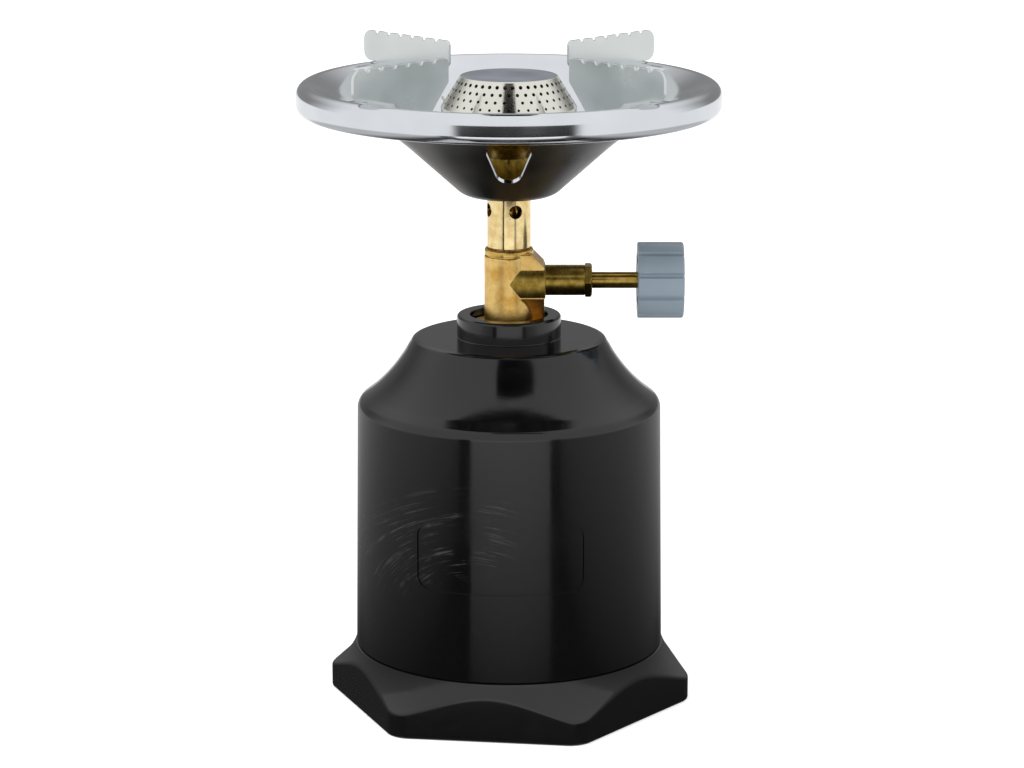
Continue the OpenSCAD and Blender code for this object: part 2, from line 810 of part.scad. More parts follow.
// Rolled brass mixing tube with air holes and a slit seam
module burner_tube() {
    color("#cda45a")
    difference() {
        union() {
            translate([0, 0, tube_z])
                cylinder(r = tube_r, h = bowl_z - tube_z - fit_gap);
            translate([0, 0, bowl_z - eps])
                cylinder(r = tube_neck_r, h = tube_neck_len + eps);
        }
        translate([0, 0, tube_z - eps])
            cylinder(r = tube_bore_r, h = bowl_z - 1.5 - tube_z + eps);
        translate([0, 0, tube_z])
            cylinder(r = neck_bore, h = neck_top);
        for (i = [0 : air_holes - 1])
            rotate([0, 0, air_hole_angle + 360 / air_holes * i])
                along_x(neck_bore / 2, bowl_z - air_hole_drop)
                    cylinder(r = air_hole_r, h = tube_r);
        rotate([0, 0, slit_angle])
            translate([neck_bore / 2, -tube_slit / 2, tube_z - eps])
                cube([tube_r, tube_slit, bowl_z - tube_z - 1]);
    }
}

// Plan outline of a window: rounded at its foot, widest in the middle, narrower at its top
module window_outline() {
    foot_half = window_half_w * 0.46;
    foot_r = foot_half * 1.3;
    top_half = window_half_w * 0.75;
    polygon(rounded([
        [window_in_r, -foot_half, foot_r], [window_mid_r, -window_half_w, 3.5],
        [window_out_r, -top_half, 1.2], [window_out_r, top_half, 1.2],
        [window_mid_r, window_half_w, 3.5], [window_in_r, foot_half, foot_r]]));
}

// Deep-drawn wind bowl with a hemmed rim, windows and slots for the pan supports
module bowl() {
    slot_w = support_t + 2 * slot_gap;
    color("#c9ccd0")
    difference() {
        rotate_extrude()
            polygon(concat(sheet_side(0), backwards(sheet_side(bowl_t))));
        for (i = [0 : windows - 1])
            rotate([0, 0, 360 / windows * i - 90])
                translate([0, 0, bowl_z])
                    linear_extrude(crest_z - bowl_z)
                        window_outline();
        for (i = [0 : 3])
            rotate([0, 0, support_angle + 90 * i])
                translate([tab_in_r - slot_gap, -slot_w / 2, bowl_z])
                    cube([tab_len + 2 * slot_gap, slot_w, crest_z - bowl_z + eps]);
    }
}

// Hexagon nut that clamps the bowl on the tube's neck
module bowl_nut() {
    color("#b0b3b5")
    translate([0, 0, nut_z])
        difference() {
            cylinder(r = bowl_nut_af / 2 / cos(30), h = bowl_nut_h, $fn = 6);
            translate([0, 0, -eps])
                cylinder(r = tube_neck_r + fit_gap, h = bowl_nut_h + 2 * eps);
        }
}

// Funnel that spreads the gas under the cap
module burner_cup() {
    funnel_z = cup_z + 8;
    collar_out = tube_neck_r + fit_gap + head_t;
    cup_top = cap_z;
    color("#c9a95e")
    rotate_extrude()
        polygon([
            [tube_neck_r + fit_gap, cup_z], [collar_out, cup_z], [collar_out, funnel_z],
            [cup_rim_r, cup_top - 1.4], [cup_rim_r, cup_top],
            [cup_rim_r - head_t, cup_top], [cup_rim_r - head_t, cup_top - 1],
            [collar_out - head_t, funnel_z + head_t]]);
}

// Pressed cap with rows of flame ports, its edge folded over the cup
module burner_cap() {
    cone_a = atan2(cap_cone_h, cap_base_r - cap_top_r);
    skirt = 1.6;
    row_from = 1.6;
    row_pitch = (cap_cone_h - 2 * row_from) / (port_rows - 1);
    color("#c8c6bc")
    difference() {
        rotate_extrude()
            polygon([
                [0, cap_top_z], [cap_top_r, cap_top_z], [cap_base_r, cap_z], [cap_base_r, cap_z - skirt],
                [cap_base_r - head_t, cap_z - skirt], [cap_base_r - head_t, cap_z],
                [cap_top_r - head_t * 0.6, cap_top_z - head_t], [0, cap_top_z - head_t]]);
        for (row = [0 : port_rows - 1])
            for (i = [0 : ports - 1]) {
                down = row_from + row * row_pitch;
                rotate([0, 0, 360 / ports * (i + row / 2)])
                    translate([cap_top_r + down / tan(cone_a), 0, cap_top_z - down])
                        rotate([0, 90 - cone_a, 0])
                            translate([0, 0, -2 * head_t])
                                cylinder(r = port_r - port_taper * row / (port_rows - 1), h = 4 * head_t);
            }
    }
}

// One pan support: an upright plate, notched on top, cut back below to clear the cap, tabbed through
// the sheet
module pan_support(angle) {
    lift = 0.1;
    steps = 6;
    lower_to = tab_out_r + 0.4;
    follow = [for (i = [0 : steps])
        let (r = support_heel_r + (tab_in_r - support_heel_r) * i / steps)
        [r, bowl_inside_z(r) + lift, 0]];
    tab_drop = tab_reach + bowl_t / cos(crest_angle);
    outline = rounded(concat(
        follow,
        [[tab_in_r, bowl_inside_z(tab_in_r) - tab_drop, 0],
            [tab_out_r, bowl_inside_z(tab_out_r) - tab_drop, 0],
            [tab_out_r, bowl_inside_z(tab_out_r) + lift, 0],
            [lower_to, crest_z + 0.4, 0],
            [support_out_r, crest_z + 0.4, support_corner_r],
            [support_out_r, support_z, support_corner_r],
            [support_in_r, support_z, 1.5],
            [support_in_r, support_z - support_end_h, 1]]));
    notch_top = 1.1;
    notch_root = 0.6;
    color("#c3c8cb")
    rotate([0, 0, angle])
        translate([0, support_t / 2, 0])
            rotate([90, 0, 0])
                linear_extrude(support_t)
                    difference() {
                        polygon(outline);
                        for (i = [0 : notches - 1])
                            translate([support_in_r + notch_pitch * (i + 1.15), support_z])
                                polygon([[-notch_top, 0.5], [-notch_top, 0], [-notch_root, -notch_depth],
                                    [notch_root, -notch_depth], [notch_top, 0], [notch_top, 0.5]]);
                    }
}

module pan_support_front_left() pan_support(180 + support_angle);
module pan_support_front_right() pan_support(-support_angle);
module pan_support_back_left() pan_support(180 - support_angle);
module pan_support_back_right() pan_support(support_angle);

foot_base();
housing();
neck_bush();
valve_body();
piercing_needle();
cartridge_seal();
gas_filter();
spindle();
spindle_oring();
gland_nut();
knob();
jet();
burner_tube();
bowl();
bowl_nut();
burner_cup();
burner_cap();
pan_support_front_left();
pan_support_front_right();
pan_support_back_left();
pan_support_back_right();
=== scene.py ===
"""Looks of an upright camping stove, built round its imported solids.

Every piece is in metres, in the frame of the solids: +Z is up, the label panel faces -Y and the
knob points to +X. Sizes in the classes are in millimetres and go through MM.
"""

import logging
import math
from dataclasses import dataclass, field
from enum import Enum
from typing import Callable, Optional, Sequence, Union

import bmesh
import bpy
import numpy as np
from mathutils import Matrix, Vector


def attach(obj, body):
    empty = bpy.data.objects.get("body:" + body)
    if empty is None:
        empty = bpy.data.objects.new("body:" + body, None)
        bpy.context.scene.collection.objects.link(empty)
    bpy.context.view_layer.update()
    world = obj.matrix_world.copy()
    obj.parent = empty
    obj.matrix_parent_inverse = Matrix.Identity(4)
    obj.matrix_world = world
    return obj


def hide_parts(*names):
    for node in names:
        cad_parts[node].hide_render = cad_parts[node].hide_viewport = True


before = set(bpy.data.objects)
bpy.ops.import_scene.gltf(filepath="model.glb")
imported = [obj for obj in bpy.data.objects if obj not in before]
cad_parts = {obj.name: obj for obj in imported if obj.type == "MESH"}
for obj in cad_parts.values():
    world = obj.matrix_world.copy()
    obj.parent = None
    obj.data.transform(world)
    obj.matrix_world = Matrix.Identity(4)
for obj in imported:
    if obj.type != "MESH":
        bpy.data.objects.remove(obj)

LOG = logging.getLogger("stove")
MM = 0.001
SPINDLE_Z = 136.5       # height of the valve rod's axis
DOUBLE_M = 1e-7         # points closer than this are one
SHORTEST_M = 1e-8       # edges shorter than this are taken away
CRISP_ANGLE = 32.0      # edges sharper than this stay crisp
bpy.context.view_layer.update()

Point = tuple[float, float]
Profile = list[Point]
Tree = bpy.types.NodeTree
Socket = bpy.types.NodeSocket
Value = Union[Socket, float]
Inputs = dict[Union[str, int], object]
Warp = Callable[[float, np.ndarray, np.ndarray], tuple[np.ndarray, np.ndarray]]


class Axis(Enum):
    """The axis that a turned piece is turned round."""

    Z = "z"
    SPINDLE = "spindle"


class Operation(Enum):
    """What a second object does to the first."""

    JOIN = "UNION"
    CUT = "DIFFERENCE"
    OVERLAP = "INTERSECT"


# ---------------------------------------------------------------------------
# Outlines and meshes
# ---------------------------------------------------------------------------


def rounded(points: Sequence[tuple], closed: bool = True, steps: int = 6) -> Profile:
    """Rounds the corners of an outline.

    Args:
        points: corners as (x, y) or (x, y, radius).
        closed: whether the last corner joins the first.
        steps: straight pieces in one rounded corner.

    Returns:
        The outline's points, in the same unit.
    """
    out: Profile = []
    count = len(points)
    for i, point in enumerate(points):
        here = Vector(point[:2])
        radius = point[2] if len(point) > 2 else 0.0
        if radius == 0 or (not closed and i in (0, count - 1)):
            out.append(tuple(here))
            continue
        before = Vector(points[i - 1][:2]) - here
        after = Vector(points[(i + 1) % count][:2]) - here
        half = before.angle(after) / 2
        run = radius / math.tan(half)
        start = here + before.normalized() * run
        end = here + after.normalized() * run
        middle = here + (before.normalized() + after.normalized()).normalized() * radius / math.sin(half)
        a0 = math.atan2(*(start - middle).yx)
        turn = (math.atan2(*(end - middle).yx) - a0 + math.pi) % (2 * math.pi) - math.pi
        for k in range(steps + 1):
            a = a0 + turn * k / steps
            out.append((middle.x + radius * math.cos(a), middle.y + radius * math.sin(a)))
    return out


def spread(profile: Profile, longest: float) -> Profile:
    """Splits the long straights of an outline.

    Args:
        profile: the outline's points.
        longest: no straight piece stays longer than this.

    Returns:
        The outline with the points added.
    """
    out: Profile = [profile[0]]
    for p, q in zip(profile, profile[1:]):
        pieces = max(1, math.ceil(math.dist(p, q) / longest))
        out += [(p[0] + (q[0] - p[0]) * k / pieces, p[1] + (q[1] - p[1]) * k / pieces)
                for k in range(1, pieces + 1)]
    return out


def around_z(outline: np.ndarray, angle: float) -> np.ndarray:
    """Turns points given as (radius, height) to an angle round the Z axis."""
    return np.stack([outline[:, 0] * math.cos(angle), outline[:, 0] * math.sin(angle), outline[:, 1]], -1)


def link(name: str, data: bpy.types.ID) -> bpy.types.Object:
    """Makes an object of a mesh, a lamp or a camera and puts it in the scene.

    Args:
        name: the object's name.
        data: what it shows.

    Returns:
        The object.
    """
    obj = bpy.data.objects.new(name, data)
    bpy.context.scene.collection.objects.link(obj)
    return obj


def solid(name: str, grid: np.ndarray, ring: bool = True, closed: bool = True) -> bpy.types.Object:
    """Makes a mesh of a grid of points.

    Args:
        name: the object's name.
        grid: points in millimetres, as [around, along, 3].
        ring: whether the last row round the piece joins the first.
        closed: whether each row is a closed outline.

    Returns:
        The object, with its doubles merged and its faces pointing outwards.
    """
    around, along = grid.shape[:2]
    i = np.arange(around if ring else around - 1)
    j = np.arange(along if closed else along - 1)
    a, b = np.meshgrid(i, j, indexing="ij")
    a1, b1 = (a + 1) % around, (b + 1) % along
    quads = np.stack([a * along + b, a1 * along + b, a1 * along + b1, a * along + b1], -1)
    mesh = bpy.data.meshes.new(name)
    mesh.from_pydata((grid.reshape(-1, 3) * MM).tolist(), [], quads.reshape(-1, 4).tolist())
    tidy(mesh)
    return link(name, mesh)


def tidy(mesh: bpy.types.Mesh) -> None:
    """Merges doubles, closes poles and turns the faces outwards.

    Args:
        mesh: the mesh that is changed.
    """
    bm = bmesh.new()
    bm.from_mesh(mesh)
    bmesh.ops.remove_doubles(bm, verts=bm.verts, dist=DOUBLE_M)
    bmesh.ops.dissolve_degenerate(bm, edges=bm.edges, dist=SHORTEST_M)
    bmesh.ops.recalc_face_normals(bm, faces=bm.faces)
    bm.to_mesh(mesh)
    bm.free()


def lathe(name: str, profile: Profile, segments: int = 192, axis: Axis = Axis.Z, closed: bool = True,
          at: Optional[Warp] = None, arc: Optional[Point] = None) -> bpy.types.Object:
    """Turns an outline round an axis.

    Args:
        name: the object's name.
        profile: points as (radius, place along the axis).
        segments: straight pieces in one turn.
        axis: what the outline is turned round.
        closed: whether the outline is closed and clear of the axis.
        at: changes the radii and places at an angle; takes (angle, radii, places).
        arc: first and last angle in degrees, for a part of a turn.

    Returns:
        The turned object.
    """
    r, z = (np.array(v, float) for v in zip(*profile))
    if arc:
        angles = np.radians(np.linspace(arc[0], arc[1], segments + 1))
    else:
        angles = np.arange(segments) * 2 * math.pi / segments
    rows = []
    for angle in angles:
        rr, zz = at(angle, r, z) if at else (r, z)
        u, v = rr * math.cos(angle), rr * math.sin(angle)
        rows.append(np.stack([u, v, zz] if axis is Axis.Z else [zz, u, v + SPINDLE_Z], -1))
    obj = solid(name, np.array(rows), ring=not arc, closed=closed)
    if arc:
        close_ends(obj)
    return obj


def close_ends(obj: bpy.types.Object) -> None:
    """Fills the open ends of a part of a turn.

    Args:
        obj: the object that is changed.
    """
    bm = bmesh.new()
    bm.from_mesh(obj.data)
    bmesh.ops.edgeloop_fill(bm, edges=[e for e in bm.edges if e.is_boundary])
    bmesh.ops.recalc_face_normals(bm, faces=bm.faces)
    bm.to_mesh(obj.data)
    bm.free()


def prism(name: str, outline: Profile, low: float, high: float,
          place: Callable[[float, float, float], tuple]) -> bpy.types.Object:
    """Makes a straight prism of an outline.

    Args:
        name: the object's name.
        outline: its points, in millimetres.
        low: where it starts.
        high: where it ends.
        place: takes (x, y, depth) of the outline to a point in millimetres.

    Returns:
        The prism.
    """
    count = len(outline)
    points = [Vector(place(x, y, d)) * MM for d in (low, high) for x, y in outline]
    faces = [list(range(count)), list(range(2 * count - 1, count - 1, -1))]
    faces += [[i, (i + 1) % count, count + (i + 1) % count, count + i] for i in range(count)]
    mesh = bpy.data.meshes.new(name)
    mesh.from_pydata(points, [], faces)
    tidy(mesh)
    return link(name, mesh)


def bake(obj: bpy.types.Object) -> bpy.types.Object:
    """Turns an object's modifiers into its plain mesh.

    Args:
        obj: the object.

    Returns:
        The same object.
    """
    bpy.context.view_layer.update()
    depsgraph = bpy.context.evaluated_depsgraph_get()
    mesh = bpy.data.meshes.new_from_object(obj.evaluated_get(depsgraph))
    obj.modifiers.clear()
    old = obj.data
    obj.data = mesh
    mesh.name = obj.name
    bpy.data.meshes.remove(old)
    return obj


def combine(obj: bpy.types.Object, other: bpy.types.Object, operation: Operation) -> bpy.types.Object:
    """Joins, cuts or overlaps an object with another, which is used up.

    Args:
        obj: the object.
        other: what changes it.
        operation: how.

    Returns:
        The same object.
    """
    change = obj.modifiers.new("combine", "BOOLEAN")
    change.operation = operation.value
    change.solver = "EXACT"
    change.object = other
    bake(obj)
    bpy.data.objects.remove(other)
    return obj


def merged(obj: bpy.types.Object, others: Sequence[bpy.types.Object]) -> bpy.types.Object:
    """Puts other meshes beside an object's own in one mesh, without cutting them.

    Args:
        obj: the object.
        others: the objects whose meshes it takes; they are used up.

    Returns:
        The same object.
    """
    bm = bmesh.new()
    for each in (obj, *others):
        bm.from_mesh(each.data)
    bm.to_mesh(obj.data)
    bm.free()
    for each in others:
        bpy.data.objects.remove(each)
    return obj


def soften(obj: bpy.types.Object, bevel: float = 0.0, segments: int = 2,
           angle: float = CRISP_ANGLE) -> bpy.types.Object:
    """Breaks the sharp edges of an object and shades it smoothly.

    Args:
        obj: the object.
        bevel: width of the broken edges in millimetres, or 0 for none.
        segments: steps across a broken edge.
        angle: edges sharper than this, in degrees, are broken or stay crisp.

    Returns:
        The same object, with a plain mesh.
    """
    if bevel:
        edge = obj.modifiers.new("edge", "BEVEL")
        edge.width = bevel * MM
        edge.segments = segments
        edge.limit_method = "ANGLE"
        edge.angle_limit = math.radians(angle)
        bake(obj)
    obj.data.shade_smooth()
    obj.data.set_sharp_from_angle(angle=math.radians(max(angle, CRISP_ANGLE)))
    weigh = obj.modifiers.new("weigh", "WEIGHTED_NORMAL")
    weigh.keep_sharp = True
    return bake(obj)


def smooth_step(t: Union[float, np.ndarray]) -> Union[float, np.ndarray]:
    """Eases values from 0 to 1 at both ends."""
    return t * t * (3 - 2 * t)


# ---------------------------------------------------------------------------
# Nodes
# ---------------------------------------------------------------------------


def add(tree: Tree, kind: str, inputs: Optional[Inputs] = None, **settings: object) -> bpy.types.Node:
    """Adds a node with its settings and links.

    Args:
        tree: the node tree.
        kind: the node's type.
        inputs: values or sockets by the name or number of the input.
        settings: the node's own settings.

    Returns:
        The node.
    """
    node = tree.nodes.new(kind)
    for name, value in settings.items():
        setattr(node, name, value)
    for key, value in (inputs or {}).items():
        if isinstance(value, Socket):
            tree.links.new(value, node.inputs[key])
        else:
            node.inputs[key].default_value = value
    return node


def linear(colour: str) -> tuple[float, float, float, float]:
    """Turns an sRGB hex colour into linear values with full alpha."""
    parts = [int(colour[i:i + 2], 16) / 255 for i in (1, 3, 5)]
    return (*(c / 12.92 if c <= 0.04045 else ((c + 0.055) / 1.055) ** 2.4 for c in parts), 1.0)


def per_metre(size_mm: float) -> float:
    """Scale of a texture whose features are about this size in millimetres."""
    return 1 / (size_mm * MM)


class Pattern:
    """The nodes of one surface: short calls that add a node and return its output."""

    def __init__(self, tree: Tree, coordinates: str = "Object") -> None:
        """Empties the tree and takes its coordinates.

        Args:
            tree: the surface's tree.
            coordinates: the name of the coordinates that the pattern follows.
        """
        tree.nodes.clear()
        self.tree = tree
        self.place = add(tree, "ShaderNodeTexCoord").outputs[coordinates]

    def parts(self) -> bpy.types.bpy_prop_collection:
        """Splits the coordinates into X, Y and Z."""
        return add(self.tree, "ShaderNodeSeparateXYZ", {0: self.place}).outputs

    def noise(self, size_mm: float, detail: float, roughness: float = 0.5, distortion: float = 0.0,
              at: Optional[Socket] = None) -> Socket:
        """Adds cloudy noise.

        Args:
            size_mm: size of its features.
            detail: how many finer layers it has.
            roughness: how strong the finer layers are.
            distortion: how much it is stirred.
            at: its coordinates, or None for the piece's own.

        Returns:
            Values round 0.5.
        """
        return add(self.tree, "ShaderNodeTexNoise", {
            "Vector": self.place if at is None else at, "Scale": per_metre(size_mm), "Detail": detail,
            "Roughness": roughness, "Distortion": distortion}).outputs[0]

    def remap(self, value: Socket, start: float, end: float, low: float = 0.0, high: float = 1.0,
              smooth: bool = False) -> Socket:
        """Takes a range of values to another, and holds it outside.

        Args:
            value: the values.
            start: the value that becomes low.
            end: the value that becomes high.
            low: the new value at the start.
            high: the new value at the end.
            smooth: whether it eases in and out.

        Returns:
            The new values.
        """
        return add(self.tree, "ShaderNodeMapRange", {
            "Value": value, "From Min": start, "From Max": end, "To Min": low, "To Max": high},
            interpolation_type="SMOOTHSTEP" if smooth else "LINEAR").outputs[0]

    def math(self, operation: str, *values: Value) -> Socket:
        """Reckons with values and sockets."""
        return add(self.tree, "ShaderNodeMath", dict(enumerate(values)), operation=operation).outputs[0]

    def between(self, factor: Socket, low: Value, high: Value) -> Socket:
        """Goes from one value to another by a factor."""
        return add(self.tree, "ShaderNodeMix", {"Factor": factor, "A": low, "B": high}).outputs["Result"]

    def blend(self, factor: Socket, first: object, second: object) -> Socket:
        """Goes from one colour to another by a factor."""
        return add(self.tree, "ShaderNodeMixRGB", {
            "Fac": factor, "Color1": first, "Color2": second}).outputs[0]

    def bump(self, height: Socket, distance: float, strength: float = 1.0,
             over: Optional[Socket] = None) -> Socket:
        """Adds relief that only the light shows.

        Args:
            height: how high each place is, as a part of the distance.
            distance: its full height in metres.
            strength: how much of it shows.
            over: another relief that it lies on.

        Returns:
            The normal.
        """
        below = {} if over is None else {"Normal": over}
        return add(self.tree, "ShaderNodeBump", {
            "Height": height, "Distance": distance, "Strength": strength, **below}).outputs[0]


class RingOfCuts:
    """Geometry Nodes that turn a cutter round the Z axis and cut an object with all its copies."""

    def __init__(self, name: str) -> None:
        """Builds the node tree.

        Args:
            name: the tree's name.
        """
        tree = bpy.data.node_groups.new(name, "GeometryNodeTree")
        for label, kind in (("Geometry", "Geometry"), ("Cutter", "Object"), ("Count", "Int"),
                            ("First angle", "Float"), ("Step angle", "Float"), ("Finish", "Material")):
            tree.interface.new_socket(label, in_out="INPUT", socket_type=f"NodeSocket{kind}")
        tree.interface.new_socket("Geometry", in_out="OUTPUT", socket_type="NodeSocketGeometry")
        given = add(tree, "NodeGroupInput").outputs
        points = add(tree, "GeometryNodeMeshLine", {"Count": given["Count"], "Offset": (0, 0, 0)})
        index = add(tree, "GeometryNodeInputIndex")
        turn = add(tree, "ShaderNodeMath", {0: index.outputs[0], 1: given["Step angle"],
                                            2: given["First angle"]}, operation="MULTIPLY_ADD")
        rotation = add(tree, "ShaderNodeCombineXYZ", {"Z": turn.outputs[0]})
        cutter = add(tree, "GeometryNodeObjectInfo", {"Object": given["Cutter"]})
        copies = add(tree, "GeometryNodeInstanceOnPoints", {
            "Points": points.outputs[0], "Instance": cutter.outputs["Geometry"],
            "Rotation": rotation.outputs[0]})
        meshes = add(tree, "GeometryNodeRealizeInstances", {0: copies.outputs[0]})
        cut = add(tree, "GeometryNodeMeshBoolean", {"Mesh 1": given["Geometry"],
                                                    "Mesh 2": meshes.outputs[0]},
                  operation="DIFFERENCE", solver="EXACT")
        plain = add(tree, "GeometryNodeRealizeInstances", {0: cut.outputs[0]})
        dressed = add(tree, "GeometryNodeSetMaterial", {"Geometry": plain.outputs[0],
                                                        "Material": given["Finish"]})
        add(tree, "NodeGroupOutput", {0: dressed.outputs[0]})
        self.tree = tree

    def cut(self, obj: bpy.types.Object, cutter: bpy.types.Object, count: int,
            first: float = 0.0) -> bpy.types.Object:
        """Cuts an object with an even ring of copies of a cutter, which is used up.

        Args:
            obj: the object to cut.
            cutter: the cutter in its first place, before it is turned.
            count: number of copies.
            first: angle of the first copy in degrees.

        Returns:
            The same object, cut.
        """
        change = obj.modifiers.new("ring", "NODES")
        change.node_group = self.tree
        finish = obj.data.materials[0] if obj.data.materials else None
        values = {"Cutter": cutter, "Count": count, "First angle": math.radians(first),
                  "Step angle": math.radians(360 / count), "Finish": finish}
        for item in self.tree.interface.items_tree:
            if item.in_out == "INPUT" and item.name in values:
                change[item.identifier] = values[item.name]
        bake(obj)
        bpy.data.objects.remove(cutter)
        return obj


# ---------------------------------------------------------------------------
# Finishes
# ---------------------------------------------------------------------------


class Finish:
    """A surface that builds its own material once."""

    name = "finish"

    def material(self) -> bpy.types.Material:
        """Builds the material the first time.

        Returns:
            The material.
        """
        made = bpy.data.materials.get(self.name)
        if made is None:
            made = bpy.data.materials.new(self.name)
            made.use_nodes = True
            pattern = Pattern(made.node_tree)
            shader = add(pattern.tree, "ShaderNodeBsdfPrincipled", self.dress(pattern))
            add(pattern.tree, "ShaderNodeOutputMaterial", {"Surface": shader.outputs[0]})
        return made

    def dress(self, pattern: Pattern) -> Inputs:
        """Adds the pattern of this finish.

        Args:
            pattern: the material's nodes.

        Returns:
            What goes into the shader, by the name of its input.
        """
        raise NotImplementedError

    def wear(self, obj: bpy.types.Object) -> None:
        """Gives the whole object this finish.

        Args:
            obj: the object.
        """
        obj.data.materials.clear()
        obj.data.materials.append(self.material())
        for face in obj.data.polygons:
            face.material_index = 0


@dataclass(frozen=True)
class GlossBlackABS(Finish):
    """Injection moulded ABS from a polished mould: a deep black mirror with a slight orange peel
    and the faint arcs of fine scratches that wiping and the mould maker's polishing left."""

    name: str = "gloss_black_abs_moulded"
    colour: str = "#060607"
    roughness: float = 0.13
    peel_mm: float = 3.5
    patch_mm: float = 17.0
    scratch_mm: float = 0.9
    scratch_run: float = 0.0015
    scratch_colour: str = "#323233"
    scratch_roughness: float = 0.3
    gap_mm: float = 9.0
    arc_centre_mm: tuple[float, float] = (-11.0, 33.0)
    arc_reach_mm: tuple[float, float, float, float] = (17.0, 21.0, 43.0, 50.0)
    arc_swing: tuple[float, float, float, float] = (-1.45, -1.1, 0.1, 0.5)

    def dress(self, pattern: Pattern) -> Inputs:
        """Adds orange peel, arcs of fine scratches round a point of the front, and uneven gloss.

        Args:
            pattern: the material's nodes.

        Returns:
            What goes into the shader, by the name of its input.
        """
        gloss = pattern.remap(pattern.noise(self.patch_mm, 3.0), 0.35, 0.7, self.roughness * 0.75,
                              self.roughness * 1.35)
        part = pattern.parts()
        across = pattern.math("SUBTRACT", part["X"], self.arc_centre_mm[0] * MM)
        above = pattern.math("SUBTRACT", part["Z"], self.arc_centre_mm[1] * MM)
        arm = add(pattern.tree, "ShaderNodeCombineXYZ", {"X": across, "Y": above}).outputs[0]
        away = add(pattern.tree, "ShaderNodeVectorMath", {0: arm}, operation="LENGTH").outputs["Value"]
        swing = pattern.math("ARCTAN2", across, above)
        along = pattern.math("MULTIPLY", swing, self.scratch_run)
        rubbed = add(pattern.tree, "ShaderNodeCombineXYZ", {"X": away, "Y": along}).outputs[0]
        scratch = pattern.noise(self.scratch_mm, 3.0, 0.7, at=rubbed)
        where = pattern.remap(pattern.noise(self.gap_mm, 3.0), 0.4, 0.56)
        relief = pattern.math("MULTIPLY_ADD", scratch, where, pattern.noise(self.peel_mm, 2.0))
        worn = pattern.math("MULTIPLY", pattern.remap(scratch, 0.53, 0.63), where)
        for value, (outer_0, inner_0, inner_1, outer_1) in (
                (away, [v * MM for v in self.arc_reach_mm]), (swing, self.arc_swing)):
            for outer, inner in ((outer_0, inner_0), (outer_1, inner_1)):
                worn = pattern.math("MULTIPLY", worn, pattern.remap(value, outer, inner))
        return {"IOR": 1.52,
                "Base Color": pattern.blend(worn, linear(self.colour), linear(self.scratch_colour)),
                "Roughness": pattern.math("MULTIPLY_ADD", worn, self.scratch_roughness, gloss),
                "Normal": pattern.bump(relief, 1.2e-5)}


@dataclass(frozen=True)
class SatinBlackABS(Finish):
    """Moulded ABS from a fine-eroded mould: black with a soft sheen that breaks highlights up."""

    name: str = "satin_black_abs_moulded"
    colour: str = "#0d0d0e"
    roughness: float = 0.15
    grain_mm: float = 0.5
    flow_mm: float = 11.0

    def dress(self, pattern: Pattern) -> Inputs:
        """Adds the mould's grain and flow marks.

        Args:
            pattern: the material's nodes.

        Returns:
            What goes into the shader, by the name of its input.
        """
        flow = pattern.noise(self.flow_mm, 3.0, distortion=1.2)
        relief = pattern.math("MULTIPLY_ADD", flow, 3.0, pattern.noise(self.grain_mm, 3.0))
        return {"IOR": 1.5, "Base Color": linear(self.colour),
                "Roughness": pattern.remap(flow, 0.3, 0.7, self.roughness * 0.7, self.roughness * 1.4),
                "Normal": pattern.bump(relief, 9e-6)}


@dataclass(frozen=True)
class ForgedBrass(Finish):
    """Hot forged brass, tumbled and left raw: warm gold with a peened grain, redder patches where
    the scale came off, and small dark pits."""

    name: str = "forged_brass_raw"
    light: str = "#ecca80"
    dark: str = "#d3a453"
    pit_colour: str = "#6a4a1c"
    patch_mm: float = 4.5
    grain_mm: float = 0.4
    pit_mm: float = 0.8

    def dress(self, pattern: Pattern) -> Inputs:
        """Adds patches, grain and pits.

        Args:
            pattern: the material's nodes.

        Returns:
            What goes into the shader, by the name of its input.
        """
        tint = add(pattern.tree, "ShaderNodeValToRGB", {0: pattern.noise(self.patch_mm, 5.0, 0.62)})
        for stop, position, colour in zip(tint.color_ramp.elements, (0.36, 0.62), (self.dark, self.light)):
            stop.position, stop.color = position, linear(colour)
        grain = pattern.noise(self.grain_mm, 4.0, 0.6)
        cells = add(pattern.tree, "ShaderNodeTexVoronoi", {"Vector": pattern.place,
                                                           "Scale": per_metre(self.pit_mm)})
        pit = pattern.remap(cells.outputs["Distance"], 0.05, 0.17, 0.35, 1.0)
        relief = pattern.math("MULTIPLY_ADD", pit, 1.4, grain)
        return {"Metallic": 1.0,
                "Base Color": pattern.blend(pit, linear(self.pit_colour), tint.outputs[0]),
                "Roughness": pattern.remap(grain, 0.3, 0.7, 0.26, 0.42),
                "Normal": pattern.bump(relief, 3e-5, 0.8)}


@dataclass(frozen=True)
class TurnedBrass(Finish):
    """Brass bar turned on a lathe, olive by default and darker than the forging: fine rings round the
    axis.
    """

    name: str = "turned_brass_olive"
    light: str = "#a98f46"
    dark: str = "#7f6629"
    pitch_mm: float = 0.35
    along: tuple[float, float, float] = (1.0, 0.06, 0.06)
    roughness: float = 0.28
    tarnish_mm: float = 2.6

    def dress(self, pattern: Pattern) -> Inputs:
        """Adds turning rings and tarnish.

        Args:
            pattern: the material's nodes.

        Returns:
            What goes into the shader, by the name of its input.
        """
        squeezed = add(pattern.tree, "ShaderNodeVectorMath", {0: pattern.place, 1: self.along},
                       operation="MULTIPLY").outputs[0]
        rings = pattern.noise(self.pitch_mm, 3.0, 0.7, at=squeezed)
        tint = pattern.remap(pattern.noise(self.tarnish_mm, 4.0), 0.35, 0.65)
        return {"Metallic": 1.0,
                "Base Color": pattern.blend(tint, linear(self.dark), linear(self.light)),
                "Roughness": pattern.remap(rings, 0.3, 0.7, self.roughness * 0.9, self.roughness * 1.15),
                "Normal": pattern.bump(rings, 1.6e-6, 0.9)}


